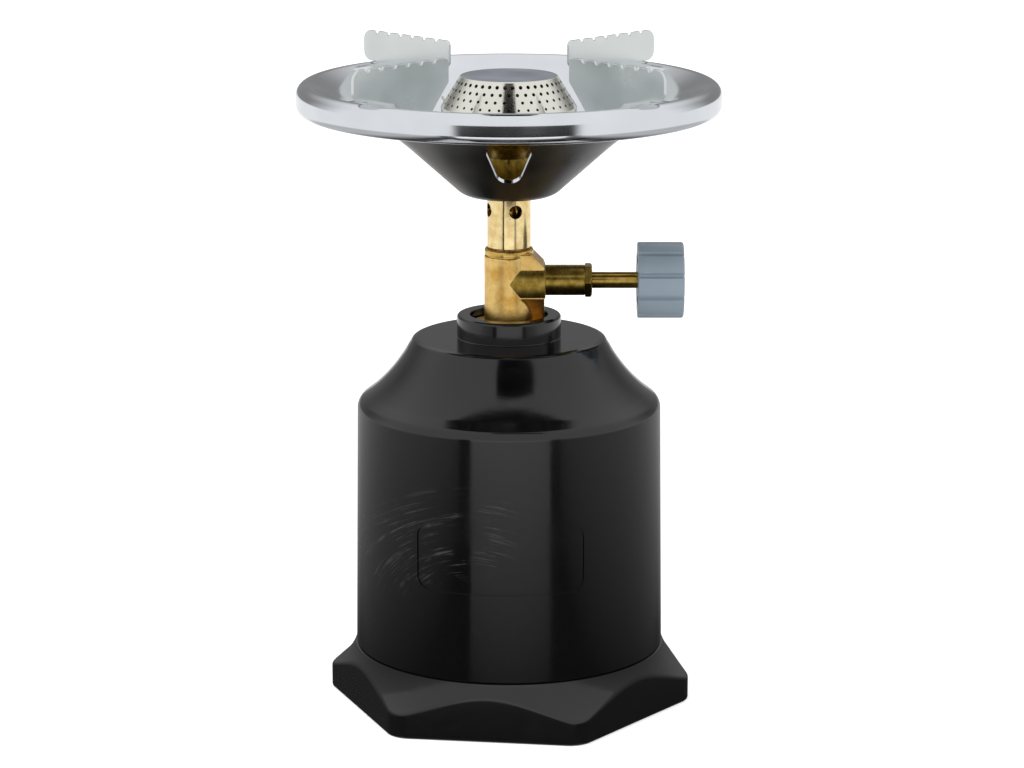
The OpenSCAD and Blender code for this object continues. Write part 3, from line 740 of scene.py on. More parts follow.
@dataclass(frozen=True)
class SheetPlate(Finish):
    """Pressed steel sheet with a metal plating; the numbers make it bright chrome, zinc or nickel."""

    name: str = "chrome_plated_steel_drawn"
    colour: str = "#dfe2e6"
    shade: str = "#cfd3d8"
    roughness: float = 0.12
    wave_mm: float = 7.0
    wave_height: float = 1.6e-5
    grain_mm: float = 0.35
    grain_height: float = 1.2e-6
    stain_mm: float = 13.0

    def dress(self, pattern: Pattern) -> Inputs:
        """Adds the waviness of the sheet, the grain of the plating and faint stains.

        Args:
            pattern: the material's nodes.

        Returns:
            What goes into the shader, by the name of its input.
        """
        stain = pattern.noise(self.stain_mm, 1.5)
        waves = pattern.bump(pattern.noise(self.wave_mm, 1.0), self.wave_height)
        grain = pattern.noise(self.grain_mm, 3.0, 0.65)
        return {"Metallic": 1.0,
                "Base Color": pattern.blend(stain, linear(self.shade), linear(self.colour)),
                "Roughness": pattern.remap(stain, 0.3, 0.7, self.roughness * 0.85, self.roughness * 1.25),
                "Normal": pattern.bump(grain, self.grain_height, over=waves)}


@dataclass(frozen=True)
class MouldedPlastic(Finish):
    """Coloured plastic from an eroded mould: an even satin with a fine grain."""

    name: str = "blue_grey_polypropylene_moulded"
    colour: str = "#92a1ad"
    shade: str = "#8897a3"
    roughness: float = 0.38
    grain_mm: float = 0.22
    cloud_mm: float = 6.0

    def dress(self, pattern: Pattern) -> Inputs:
        """Adds the grain and a slight cloudiness of the colour.

        Args:
            pattern: the material's nodes.

        Returns:
            What goes into the shader, by the name of its input.
        """
        cloud = pattern.noise(self.cloud_mm, 3.0)
        grain = pattern.noise(self.grain_mm, 2.0)
        return {"IOR": 1.49, "Base Color": pattern.blend(cloud, linear(self.shade), linear(self.colour)),
                "Roughness": pattern.remap(grain, 0.0, 1.0, self.roughness * 0.85, self.roughness * 1.2),
                "Normal": pattern.bump(grain, 8e-6, 0.7)}


CHROME = SheetPlate()
# Darker, rougher plating for the bowl's downward faces: the darker grey is painted shade.
UNDERSIDE_PAINTED_SHADE = SheetPlate("plated_steel_heat_dulled", "#86837f", "#6f6f71", 0.3, 12.0, 1e-5, 0.5, 5e-6)
ZINC = SheetPlate("zinc_plated_steel_stamped", "#dde0df", "#c6ccca", 0.22, 24.0, 1.2e-5, 0.4, 5e-6)
NICKEL = SheetPlate("nickel_plated_steel_pressed", "#e6e5dc", "#d2d1c8", 0.13, 5.0, 8e-6, 0.3, 2e-6)
# Satin nickel for the cap's flat top: its roughness is the top's satin, its darker blue-grey a painted
# reflection of the dim back of the tent.
SATIN_TOP_PAINTED_REFLECTION = SheetPlate("nickel_plated_steel_satin", "#b7bcc8", "#aab0bd", 0.33, 9.0, 6e-6, 0.25, 2e-6)
STEEL = SheetPlate("ground_steel", "#a7a9ab", "#96989a", 0.3, 3.0, 4e-6, 0.2, 3e-6)
SINTER = SheetPlate("sintered_bronze", "#8f7a4e", "#7b6840", 0.6, 2.0, 1e-5, 0.15, 3e-5)
HOUSING_ABS = GlossBlackABS()
FOOT_ABS = SatinBlackABS()
FORGED = ForgedBrass()
# The arm and boss get this olive brass, darker than the forging they are cut on.
TURNED = TurnedBrass()
DRAWN = TurnedBrass("drawn_brass_tube", "#f4dfa8", "#dfc080", 0.5, (1.0, 1.0, 0.03), 0.17)
# Near-black brass for the walls of the seam's groove: painted shade in the groove.
SEAM_PAINTED_SHADE = TurnedBrass("brass_seam_tarnished", "#3a2d12", "#241b09", 0.4, (1.0, 1.0, 0.1), 0.5)
SPUN = TurnedBrass("spun_brass_oiled", "#a8893a", "#6f5a24", 0.6, (1.0, 1.0, 0.04), 0.2)
MACHINED = TurnedBrass("machined_brass_bright", "#d6b566", "#bb964a", 0.3, (0.1, 0.1, 1.0), 0.22)
NUT_BRASS = TurnedBrass("turned_brass_nut", "#b89a4e", "#8f7534", 0.3, (1.0, 0.1, 0.1), 0.24)
ROD = TurnedBrass("rolled_brass_rod", "#b2954b", "#8d7334", 0.4, (0.05, 1.0, 1.0), 0.2)
KNOB_PLASTIC = MouldedPlastic()
RUBBER = MouldedPlastic("nitrile_rubber_moulded", "#1d1d1d", "#161616", 0.62, 0.3)

CUTS = RingOfCuts("ring_of_cuts")


def place_piece(obj: bpy.types.Object, body: str, slot: str, *nodes: str) -> bpy.types.Object:
    """Puts a finished piece on its body, and hides the solids that it stands for.

    Args:
        obj: the piece.
        body: the body that it moves with.
        slot: the record's material slot; not used.
        nodes: the solids that it replaces.

    Returns:
        The piece.
    """
    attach(obj, body)
    if nodes:
        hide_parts(*nodes)
    LOG.info("%s: %d faces on %s", obj.name, len(obj.data.polygons), body)
    return obj


def second_finish(obj: bpy.types.Object, finish: Finish,
                  chosen: Callable[[bpy.types.MeshPolygon], bool]) -> None:
    """Gives some faces of a finished object a second finish.

    Args:
        obj: the object.
        finish: the second finish.
        chosen: tells whether a face gets it.
    """
    obj.data.materials.append(finish.material())
    for face in obj.data.polygons:
        face.material_index = int(chosen(face))


# ---------------------------------------------------------------------------
# Sub-assemblies
# ---------------------------------------------------------------------------


@dataclass
class Foot:
    """Six-sided moulded foot with a hollow flare up to the seam and a socket with bayonet channels."""

    across_flats: float = 103.0
    corner_r: float = 8.0
    turn: float = -97.7
    height: float = 18.5
    flare_c: Point = (67.855, 24.464)
    flare_r: float = 19.3
    lip_r: float = 49.5
    lip_w: float = 0.35
    socket_r: float = 47.2
    floor: Point = (2.6, 5.0)
    recess_r: float = 43.0
    heel_r: float = 0.9
    crest_run: float = 0.8
    edge: float = 0.3
    core_r: float = 3.0
    core_in: float = 7.2
    lugs: int = 3
    channel_r: Point = (46.2, 48.8)
    channels: tuple[tuple[float, float, float, float], ...] = (
        (-8.4, 33.8, 9.4, 12.6), (16.6, 33.4, 10.8, 20.0))
    segments: int = 720

    def hexagon(self, angle: float) -> float:
        """Finds where the rounded hexagon lies.

        Args:
            angle: the direction in radians.

        Returns:
            Its distance from the middle.
        """
        off = (math.degrees(angle) - self.turn + 30) % 60 - 30
        from_corner = math.radians(30 - abs(off))
        centre = (self.across_flats / 2 - self.corner_r) / math.cos(math.radians(30))
        tangent = math.atan2(self.corner_r / 2, centre + self.corner_r * math.cos(math.radians(30)))
        if from_corner > tangent:
            return self.across_flats / 2 / math.cos(math.radians(off))
        inside = self.corner_r ** 2 - (centre * math.sin(from_corner)) ** 2
        return centre * math.cos(from_corner) + math.sqrt(inside)

    def flare_z(self, r: Union[float, np.ndarray]) -> Union[float, np.ndarray]:
        """Height of the flare at a radius."""
        return self.flare_c[1] - np.sqrt(self.flare_r ** 2 - (self.flare_c[0] - r) ** 2)

    def row(self, angle: float) -> np.ndarray:
        """Draws the foot's outline at one angle, from the underside round to the floor.

        Args:
            angle: the direction in radians.

        Returns:
            The outline's points as (radius, height).
        """
        reach = self.hexagon(angle)
        low, high = self.floor
        turn = np.linspace(0, math.pi / 2, 6)
        heel = np.stack([reach - self.heel_r + self.heel_r * np.sin(turn),
                         self.heel_r - self.heel_r * np.cos(turn)], -1)
        inward = reach - self.crest_run
        top = self.flare_z(reach)
        corner = np.array([[reach, top - self.crest_run], [reach, top], [inward, self.flare_z(inward)]])
        t = np.linspace(0, 1, 7)[:, None]
        crest = (1 - t) ** 2 * corner[0] + 2 * t * (1 - t) * corner[1] + t ** 2 * corner[2]
        heights = np.linspace(self.heel_r, top - self.crest_run, 6)[1:-1]
        wall = np.stack([np.full_like(heights, reach), heights], -1)
        radii = np.linspace(inward, self.lip_r + 0.05, 22)[1:]
        flare = np.stack([radii, self.flare_z(radii)], -1)
        inner = np.array([[self.lip_r - self.lip_w, self.height], [self.socket_r + self.edge, self.height],
                          [self.socket_r, self.height - self.edge], [self.socket_r, high + 0.4],
                          [self.socket_r - 0.4, high], [0, high]])
        under = np.array([[0, low], [self.recess_r - self.edge, low], [self.recess_r, low - self.edge],
                          [self.recess_r, self.edge], [self.recess_r + self.edge, 0]])
        return np.concatenate([under, heel, wall, crest, flare, inner])

    def build(self) -> bpy.types.Object:
        """Builds the foot, with a core under each corner and the three bayonet channels.

        Returns:
            The foot.
        """
        angles = [2 * math.pi * k / self.segments for k in range(self.segments)]
        foot = solid("foot_moulding", np.array([around_z(self.row(a), a) for a in angles]), closed=False)
        FOOT_ABS.wear(foot)
        roof = self.floor[1]
        core = lathe("core", [(0, -1), (self.core_r, -1), (self.core_r, roof - 0.4),
                              (self.core_r - 0.4, roof), (0, roof)], 40, closed=False)
        corner_at = self.across_flats / 2 / math.cos(math.radians(30))
        core.data.transform(Matrix.Translation(((corner_at - self.core_in) * MM, 0, 0)))
        CUTS.cut(foot, core, 6, self.turn + 30)
        r0, r1 = self.channel_r
        for start, end, z0, z1 in self.channels:
            channel = lathe("channel", [(r0, z0), (r1, z0), (r1, z1), (r0, z1)], 24, arc=(start, end))
            CUTS.cut(foot, channel, self.lugs)
        return place_piece(soften(foot), "foot", "foot_plastic", "foot_base")


@dataclass
class Housing:
    """Gloss cover: round side with a label panel, hollow shoulder, flat top, neck collar and spigot."""

    side: tuple[Point, Point] = ((49.2, 18.7), (48.25, 97.6))
    side_edge_r: float = 4.0
    top: Point = (30.6, 118.5)
    shoulder_r: float = 53.0
    shoulder_steps: int = 28
    collar: Point = (16.5, 125.7)
    bore_r: float = 12.3
    bush_room: Point = (15.4, 106.0)
    spigot: Point = (46.9, 8.4)
    bay_r: float = 45.5
    bay_taper: Point = (20.7, 22.9)
    wall: float = 2.2
    panel: tuple[float, float, float, float] = (-28.45, 47.0, 23.25, 68.0)
    panel_depth: float = 0.35
    panel_corner_r: float = 4.0
    panel_room: tuple[float, float, float] = (53.0, 40.0, 75.0)
    lug: tuple[float, float, float, float] = (46.5, 48.4, 9.7, 12.3)
    lug_arc: Point = (-8.0, 8.0)
    edge_break: float = 0.14

    def shoulder(self, inward: float) -> Profile:
        """Draws the hollow shoulder from the side up.

        Args:
            inward: how far it is moved into the wall.

        Returns:
            Its points as (radius, height).
        """
        p, q = Vector(self.side[1]), Vector(self.top)
        half = (q - p) / 2
        away = Vector((half.y, -half.x)).normalized()
        centre = p + half + away * math.sqrt(self.shoulder_r ** 2 - half.length_squared)
        a0 = math.atan2(*(p - centre).yx)
        a1 = math.atan2(*(q - centre).yx)
        turn = (a1 - a0 + math.pi) % (2 * math.pi) - math.pi
        radius = self.shoulder_r + inward
        angles = [a0 + turn * k / self.shoulder_steps for k in range(self.shoulder_steps + 1)]
        return [(centre.x + radius * math.cos(a), centre.y + radius * math.sin(a)) for a in angles]

    def outline(self) -> Profile:
        """Draws the wall, all the way round: up the outside, down the bore, and down the inside.

        Returns:
            Its points as (radius, height).
        """
        hollow = self.shoulder(0)
        inside = self.shoulder(self.wall)
        top_r, top_z = self.top
        (low_r, low_z), high = self.side
        room_r, room_z = self.bush_room
        spigot_r, spigot_z = self.spigot
        ceiling = top_z - self.wall
        taper_low, taper_high = self.bay_taper
        outer = [(spigot_r, spigot_z, 0.4), (spigot_r, low_z - 0.01), (low_r, low_z, 0.25),
                 (*high, self.side_edge_r), *hollow[5:-3], (top_r - 0.1, top_z - 0.45, 1.6),
                 (top_r - 1.5, top_z, 0.12), (self.collar[0], top_z, 0.25), (*self.collar, 1.0),
                 (self.bore_r, self.collar[1], 0.5), (self.bore_r, room_z, 0.3), (room_r, room_z, 0.4),
                 (room_r, ceiling), (top_r - 4.4, ceiling), *reversed(inside[4:-2]),
                 (low_r - self.wall, taper_high, 0.5), (self.bay_r, taper_low, 0.5),
                 (self.bay_r, spigot_z, 0.3)]
        return rounded(outer, steps=8)

    def panel_cutter(self) -> bpy.types.Object:
        """Makes what the label panel takes away from the side.

        Returns:
            The cutter, a curved slab with rounded corners.
        """
        x0, z0, x1, z1 = self.panel
        (r0, low), (r1, high) = self.side
        far, bottom, top = self.panel_room

        def skin(z: float) -> float:
            """Radius of the panel's ground at a height."""
            return r0 + (r1 - r0) * (z - low) / (high - low) - self.panel_depth

        ring = lathe("skin", [(skin(bottom), bottom), (far, bottom), (far, top), (skin(top), top)], 120,
                     arc=(-131, -49))
        corners = ((x0, z0), (x1, z0), (x1, z1), (x0, z1))
        shape = rounded([(*corner, self.panel_corner_r) for corner in corners], steps=10)
        block = prism("panel", shape, -60, -30, lambda x, z, d: (x, d, z))
        return combine(ring, block, Operation.OVERLAP)

    def build(self) -> bpy.types.Object:
        """Builds the housing with its panel and lugs.

        Returns:
            The housing.
        """
        shell = lathe("housing_shell", spread(self.outline(), 9), 256)
        r0, r1, z0, z1 = self.lug
        lugs = [lathe("lug", [(r0, z0), (r1, z0), (r1, z1), (r0, z1)], 10, arc=self.lug_arc)]
        for k in (1, 2):
            copy = link(f"lug_{k}", lugs[0].data.copy())
            copy.data.transform(Matrix.Rotation(math.radians(120 * k), 4, "Z"))
            lugs.append(copy)
        combine(shell, self.panel_cutter(), Operation.CUT)
        merged(shell, lugs)
        HOUSING_ABS.wear(shell)
        return place_piece(soften(shell, self.edge_break, 2, 40), "housing_body", "housing_plastic",
                           "housing")


@dataclass
class Valve:
    """Forged body with its turned boss, arm, ring and shank, the gland nut, the rod and the knob."""

    column_r: float = 7.8
    flange: tuple[float, float, float] = (11.6, 121.1, 123.2)
    ring: tuple[float, float, float] = (7.72, 144.6, 146.9)
    tube_seat: tuple[float, float, float] = (7.42, 6.92, 6.0)
    block: Point = (11.2, 13.8)
    web_w: float = 2.0
    chamfer: float = 4.2
    arm: Point = (4.85, 24.0)
    arm_bore: tuple[float, float, float] = (3.6, 2.68, 15.0)
    shank: Point = (9.82, 101.2)
    shank_bore: tuple[float, float, float] = (8.28, 4.03, 2.2)
    thread: tuple[int, float, float] = (12, 1.5, 0.55)
    boss: tuple[float, float, float, float] = (7.79, 4.65, 11.5, 11.7)
    nut: Point = (24.03, 26.23)
    nut_bore: tuple[float, float, float] = (3.57, 2.68, 22.8)
    rod_r: float = 2.6
    rod_collar_r: float = 3.25
    rod_ring_r: float = 2.0
    rod_ends: Point = (1.2, 51.0)
    knob: tuple[float, float, float] = (40.6, 55.1, 12.0)
    knob_wall: float = 3.6
    knob_hub_r: float = 5.5
    knob_bore: Point = (2.63, 10.53)
    knob_hollow: float = 3.5
    ribs: int = 10
    groove: float = 1.0
    voxel: float = 0.22

    def forging(self) -> bpy.types.Object:
        """Builds the forged part, with the soft edges that it gets in its die.

        Returns:
            The forging.
        """
        reach, depth = self.block
        flange_r, low, flange_top = self.flange
        root = flange_top - 0.5
        top = self.ring[2] - 1
        profile = [(0, low), (flange_r, low), (flange_r, flange_top), (self.column_r, flange_top),
                   (self.column_r, self.ring[1]), (0, self.ring[1])]
        body = lathe("valve_forging", profile, 96, closed=False)
        side = prism("block", [(0, root), (reach, root), (reach, top - self.chamfer),
                               (reach - self.chamfer, top), (0, top)],
                     -depth, depth, lambda x, z, d: (x, d, z))
        knee = SPINDLE_Z - self.arm[0]
        half_web, half = self.web_w / 2, depth / 2
        front = prism("web", [(-half_web, root), (half_web, root), (half, knee), (half, top), (-half, top),
                              (-half, knee)], -1, reach + 1, lambda y, z, d: (d, y, z))
        combine(body, combine(side, front, Operation.OVERLAP), Operation.JOIN)
        remesh = body.modifiers.new("die", "REMESH")
        remesh.mode = "VOXEL"
        remesh.voxel_size = self.voxel * MM
        smooth = body.modifiers.new("tumble", "SMOOTH")
        smooth.factor = 0.5
        smooth.iterations = 5
        bake(body)
        body.data.shade_smooth()
        FORGED.wear(body)
        return place_piece(body, "burner", "forged_brass", "valve_body")

    def turned_parts(self) -> None:
        """Builds the surfaces that a lathe or mill cuts on the forging."""
        self.milled_boss()
        radius, end = self.arm
        wide, narrow, step = self.arm_bore
        arm = lathe("valve_arm", rounded([(radius, 6), (radius, end, 0.3), (wide, end, 0.25), (wide, step),
                                          (narrow, step), (narrow, 6)]), 128, Axis.SPINDLE)
        TURNED.wear(arm)
        place_piece(soften(arm), "burner", "forged_brass")

        ring_r, low, top = self.ring
        mouth, seat, bore = self.tube_seat
        ring = lathe("valve_ring", rounded([(ring_r - 1.4, low - 0.6), (ring_r - 0.45, low - 0.6),
                                            (ring_r - 0.45, low + 0.4), (ring_r, low + 0.45, 0.15),
                                            (ring_r, top, 0.6), (mouth, top, 0.15), (seat, top - 0.7),
                                            (seat, low), (bore, low)], steps=5), 160)
        MACHINED.wear(ring)
        place_piece(soften(ring), "burner", "forged_brass")

        shank_r, foot = self.shank
        seal_r, plug_r, seal_h = self.shank_bore
        turns, pitch, depth = self.thread
        outline: Profile = [(seal_r, foot), (shank_r - 0.5, foot), (shank_r, foot + 0.5)]
        for k in range(turns):
            z = foot + 1.0 + pitch * k
            outline += [(shank_r, z), (shank_r - depth, z + 0.42), (shank_r, z + 0.84)]
        outline += [(shank_r, self.flange[1]), (plug_r, self.flange[1]), (plug_r, foot + seal_h),
                    (seal_r, foot + seal_h)]
        shank = lathe("valve_shank", outline, 128)
        MACHINED.wear(shank)
        place_piece(soften(shank), "burner", "forged_brass")

    def milled_boss(self) -> bpy.types.Object:
        """Builds the boss with its two bowed ends, in front of and behind the column.

        Returns:
            The boss.
        """
        depth, half, reach, curve_r = self.boss
        limit = math.asin(half / curve_r)
        bow = [(depth - curve_r + curve_r * math.cos(a), curve_r * math.sin(a))
               for a in np.linspace(-limit, limit, 25)]
        shape = bow + [(-y, -z) for y, z in bow]
        boss = prism("valve_boss", shape, 0.05, reach, lambda y, z, d: (d, y, z + SPINDLE_Z))
        TURNED.wear(boss)
        return place_piece(soften(boss, 0.3, 3), "burner", "forged_brass")

    def gland_nut(self) -> bpy.types.Object:
        """Builds the nut at the arm's end, chamfered where the spanner goes on.

        Returns:
            The nut.
        """
        low, high = self.nut
        socket_r, bore_r, inner = self.nut_bore
        flat = self.arm[0] + 0.05
        corner = flat / math.cos(math.radians(30))

        def hexagon(angle: float, r: np.ndarray, x: np.ndarray) -> tuple[np.ndarray, np.ndarray]:
            """Presses the outline into a hexagon.

            Args:
                angle: the direction in radians.
                r: the outline's radii.
                x: its places along the axis.

            Returns:
                The radii and places at this angle.
            """
            side = flat / math.cos(math.radians(math.degrees(angle) % 60 - 30))
            limit = np.interp(x, [low, low + 0.35, high - 0.55, high],
                              [corner - 0.3, corner + 0.2, corner + 0.2, flat - 0.1])
            return np.where(r > 4, np.minimum(side, limit), r), x

        outline = [(socket_r, inner), (socket_r, low)]
        outline += [(corner, float(x)) for x in np.linspace(low, high, 17)]
        outline += [(bore_r + 0.35, high), (bore_r, high - 0.35), (bore_r, inner)]
        nut = lathe("gland_nut_hex", outline, 180, Axis.SPINDLE, at=hexagon)
        NUT_BRASS.wear(nut)
        return place_piece(soften(nut), "burner", "turned_brass", "gland_nut")

    def rod(self) -> bpy.types.Object:
        """Builds the valve's rod, with its cone tip and the collar for the sealing ring.

        Returns:
            The rod.
        """
        tip, end = self.rod_ends
        r, collar_r, ring_r = self.rod_r, self.rod_collar_r, self.rod_ring_r
        outline = rounded([(0, tip), (0.3, tip), (r, 4.0), (r, 16.3), (collar_r, 16.3, 0.1),
                           (collar_r, 17.55), (ring_r, 17.55), (ring_r, 19.25), (collar_r, 19.25),
                           (collar_r, 20.5, 0.1), (r, 20.5), (r, end, 0.3), (0, end)],
                          closed=False, steps=4)
        rod = lathe("valve_rod", spread(outline, 3), 96, Axis.SPINDLE, closed=False)
        ROD.wear(rod)
        return place_piece(soften(rod), "spindle_turn", "spindle_brass", "spindle")

    def knob_piece(self) -> bpy.types.Object:
        """Builds the ribbed knob with a hub and a hollow back.

        Returns:
            The knob.
        """
        low, high, radius = self.knob
        bore_r, bore_end = self.knob_bore
        inner_r, hollow = radius - self.knob_wall, low + self.knob_hollow

        def ribbed(angle: float, r: np.ndarray, x: np.ndarray) -> tuple[np.ndarray, np.ndarray]:
            """Presses grooves into the grip.

            Args:
                angle: the direction in radians.
                r: the outline's radii.
                x: its places along the axis.

            Returns:
                The radii and places at this angle.
            """
            off = abs(math.degrees(angle) % (360 / self.ribs) - 180 / self.ribs)
            t = min(1.0, max(0.0, (off - 1.9) / 2.4))
            return np.where(r > 9.2, r - self.groove * (1 - t), r), x

        outline = rounded([(0, high), (radius, high, 0.7), (radius, low, 0.3), (inner_r, low, 0.3),
                           (inner_r, hollow, 0.4), (self.knob_hub_r, hollow, 0.4),
                           (self.knob_hub_r, low, 0.3), (bore_r, low, 0.2), (bore_r, low + bore_end),
                           (0, low + bore_end)], closed=False, steps=7)
        knob = lathe("knob_grip", spread(outline, 2.5), 720, Axis.SPINDLE, closed=False, at=ribbed)
        KNOB_PLASTIC.wear(knob)
        return place_piece(soften(knob, angle=34), "spindle_turn", "knob_plastic", "knob")


@dataclass
class BurnerTube:
    """Rolled brass mixing tube with round air holes and the closed line of its seam."""

    radius: float = 6.87
    bore_r: float = 5.92
    low: float = 144.63
    high: float = 163.77
    seat: tuple[float, float] = (0.5, 2.55)
    neck: Point = (6.0, 177.3)
    neck_wall: float = 0.8
    neck_floor: float = 162.3
    thread: tuple[int, float, float] = (9, 1.25, 0.42)
    holes: int = 4
    hole: tuple[float, float, float] = (2.15, 159.4, -71.3)
    seam: Point = (0.3, -104.0)

    def outline(self) -> Profile:
        """Draws the tube's wall with the thread of its neck.

        Returns:
            Its points as (radius, height).
        """
        neck_r, neck_top = self.neck
        turns, pitch, depth = self.thread
        threads: Profile = []
        for k in range(turns):
            z = self.high + 1.4 + pitch * k
            threads += [(neck_r, z), (neck_r - depth, z + 0.38), (neck_r, z + 0.76)]
        undercut, rise = self.radius - self.seat[0], self.low + self.seat[1]
        neck_in = neck_r - self.neck_wall
        outline = rounded([(self.bore_r, self.low), (undercut, self.low), (undercut, rise),
                           (self.radius, rise + 0.3, 0.15), (self.radius, self.high, 0.3),
                           (neck_r, self.high)])
        return outline + threads + rounded([
            (neck_r, neck_top - 0.5), (neck_r - 0.4, neck_top), (neck_in, neck_top),
            (neck_in, self.neck_floor), (self.bore_r, self.neck_floor)], closed=False)

    def in_seam(self, face: bpy.types.MeshPolygon) -> bool:
        """Tells whether a face lies in the groove of the seam.

        Args:
            face: the face.

        Returns:
            Whether it does.
        """
        width, angle = self.seam
        x, y, z = face.center / MM
        r = math.hypot(x, y)
        off = abs(math.atan2(y, x) - math.radians(angle)) * r
        inside = off < width and r < self.radius - 0.04 and self.low + 3 < z < self.high - 0.3
        return inside and face.normal.z ** 2 < 0.5

    def build(self) -> bpy.types.Object:
        """Builds the tube with its air holes and seam.

        Returns:
            The tube.
        """
        tube = lathe("mixing_tube", spread(self.outline(), 4), 160)
        DRAWN.wear(tube)
        hole_r, hole_z, first = self.hole
        drill = lathe("drill", [(0, 3.5), (hole_r, 3.5), (hole_r, 8.5), (0, 8.5)], 48, Axis.SPINDLE,
                      closed=False)
        drill.data.transform(Matrix.Translation((0, 0, (hole_z - SPINDLE_Z) * MM)))
        CUTS.cut(tube, drill, self.holes, first)
        width, angle = self.seam
        saw = prism("saw", [(6.3, self.low + 2), (8, self.low + 2), (8, self.high + 1),
                            (6.3, self.high + 1)], -width / 2, width / 2, lambda x, z, d: (x, d, z))
        CUTS.cut(tube, saw, 1, angle)
        soften(tube, 0.05, 1)
        # The faces in the seam's groove get near-black brass: painted shade in the groove.
        second_finish(tube, SEAM_PAINTED_SHADE, self.in_seam)
        return place_piece(tube, "burner", "tube_brass", "burner_tube")


@dataclass
class Bowl:
    """Deep-drawn wind bowl: cone, hemmed rim, four windows, and a boss pressed up under each plate."""

    rim_r: float = 66.5
    sheet: float = 0.8
    base_z: float = 163.8
    flat_r: float = 11.0
    bend_r: float = 8.0
    cone: float = 42.0
    cone_end_r: float = 30.0
    crest: float = 23.0
    crest_r: float = 3.4
    band: float = 3.0
    hem_r: float = 3.0
    hole_r: float = 6.03
    windows: int = 4
    window: tuple[tuple[float, float, float], ...] = (
        (22.5, -3.22, 4.1), (34.5, -7, 3.5), (43.5, -5.25, 1.2), (43.5, 5.25, 1.2), (34.5, 7, 3.5),
        (22.5, 3.22, 4.1))
    boss_top: float = 199.64
    boss_at: Point = (40.0, 62.5)
    boss_mid_r: float = 57.5
    boss_half_w: float = 13.0
    boss_foot: tuple[float, float, float] = (46.5, 14.5, 4.2)
    painted_shade_r: float = 61.5
    segments: int = 400

    def path(self) -> np.ndarray:
        """Draws the underside of the sheet, from the hole in its middle to the end of the hem.

        Returns:
            Its points as (radius, height, direction in radians).
        """
        cone, crest = math.radians(self.cone), math.radians(self.crest)
        path = [(r, self.base_z, 0.0) for r in np.linspace(self.hole_r, self.flat_r, 5)]

        def bend(a0: float, a1: float, radius: float, steps: int) -> None:
            """Goes on along an arc.

            Args:
                a0: direction at its start, in radians.
                a1: direction at its end.
                radius: the arc's radius.
                steps: straight pieces in it.
            """
            r, z, _ = path[-1]
            sign = 1 if a1 > a0 else -1
            for k in range(1, steps + 1):
                a = a0 + (a1 - a0) * k / steps
                path.append((r + sign * radius * (math.sin(a) - math.sin(a0)),
                             z - sign * radius * (math.cos(a) - math.cos(a0)), a))

        bend(0.0, cone, self.bend_r, 10)
        r0, z0, _ = path[-1]
        for k in range(1, 13):
            r = r0 + (self.cone_end_r - r0) * k / 12
            path.append((r, z0 + (r - r0) * math.tan(cone), cone))
        sweep_in = self.rim_r - self.crest_r - (self.crest_r - self.sheet) * math.sin(crest)
        sweep_r = (sweep_in - self.cone_end_r) / (math.sin(cone) - math.sin(crest))
        bend(cone, crest, sweep_r, 56)
        bend(crest, -math.pi / 2, self.crest_r - self.sheet, 18)
        r, z, _ = path[-1]
        path += [(r, z - self.band * k / 3, -math.pi / 2) for k in (1, 2, 3)]
        bend(-math.pi / 2, math.radians(-205), self.hem_r - self.sheet, 12)
        return np.array(path)

    def upper(self, path: np.ndarray) -> np.ndarray:
        """Upper face of the sheet over its underside, as (radius, height)."""
        return path[:, :2] + self.sheet * np.stack([-np.sin(path[:, 2]), np.cos(path[:, 2])], -1)

    def boss(self, r: np.ndarray, z: np.ndarray, angle: float) -> np.ndarray:
        """Finds how far the sheet is pressed up.

        Args:
            r: radii of some points of its upper face.
            z: their heights.
            angle: their direction in radians.

        Returns:
            The rise of each point.
        """
        off = (angle - math.radians(45)) % (math.pi / 2)
        off = min(off, math.pi / 2 - off)
        across = abs(60 * math.sin(off))
        if across >= self.boss_half_w:
            return np.zeros_like(r)
        foot, bow, run = self.boss_foot
        share = (across / self.boss_half_w) ** 2
        rise = smooth_step(np.clip((r - foot - bow * share) / run, 0, 1))
        fade = smooth_step(min(1.0, (self.boss_half_w - across) / 6.0))
        crown = self.boss_top - (r - self.boss_mid_r) ** 2 / 35 - share * 0.6
        within = (r > self.boss_at[0]) & (r < self.boss_at[1])
        return np.where(within, np.maximum(0, crown - z), 0) * rise * fade

    def is_painted_shade_face(self, face: bpy.types.MeshPolygon) -> bool:
        """Tells whether a face looks down inside the rim, where the darker grey is painted shade."""
        return face.normal.z < -0.25 and math.hypot(*face.center[:2]) < self.painted_shade_r * MM

    def build(self) -> bpy.types.Object:
        """Builds the bowl with its windows.

        Returns:
            The bowl.
        """
        path = self.path()
        under, upper = path[:, :2], self.upper(path)
        rows = []
        for k in range(self.segments):
            angle = 2 * math.pi * k / self.segments
            lift = self.boss(upper[:, 0], upper[:, 1], angle)
            lift[-35:] = 0
            raised = np.stack([0 * lift, lift], -1)
            rows.append(around_z(np.concatenate([under + raised, (upper + raised)[::-1]]), angle))
        bowl = solid("wind_bowl", np.array(rows))
        CHROME.wear(bowl)
        window = prism("window", rounded(self.window, steps=10), 160, 199, lambda x, y, d: (x, y, d))
        CUTS.cut(bowl, window, self.windows, -90)
        soften(bowl, angle=30)
        # Faces looking down inside the rim get the darker plating: painted shade.
        second_finish(bowl, UNDERSIDE_PAINTED_SHADE, self.is_painted_shade_face)
        return place_piece(bowl, "burner", "plated_steel", "bowl")

    def inside_z(self, r: float) -> float:
        """Height of the sheet's upper face at a radius, inside the crest."""
        rising = self.upper(self.path())[:90]
        return float(np.interp(r, rising[:, 0], rising[:, 1]))


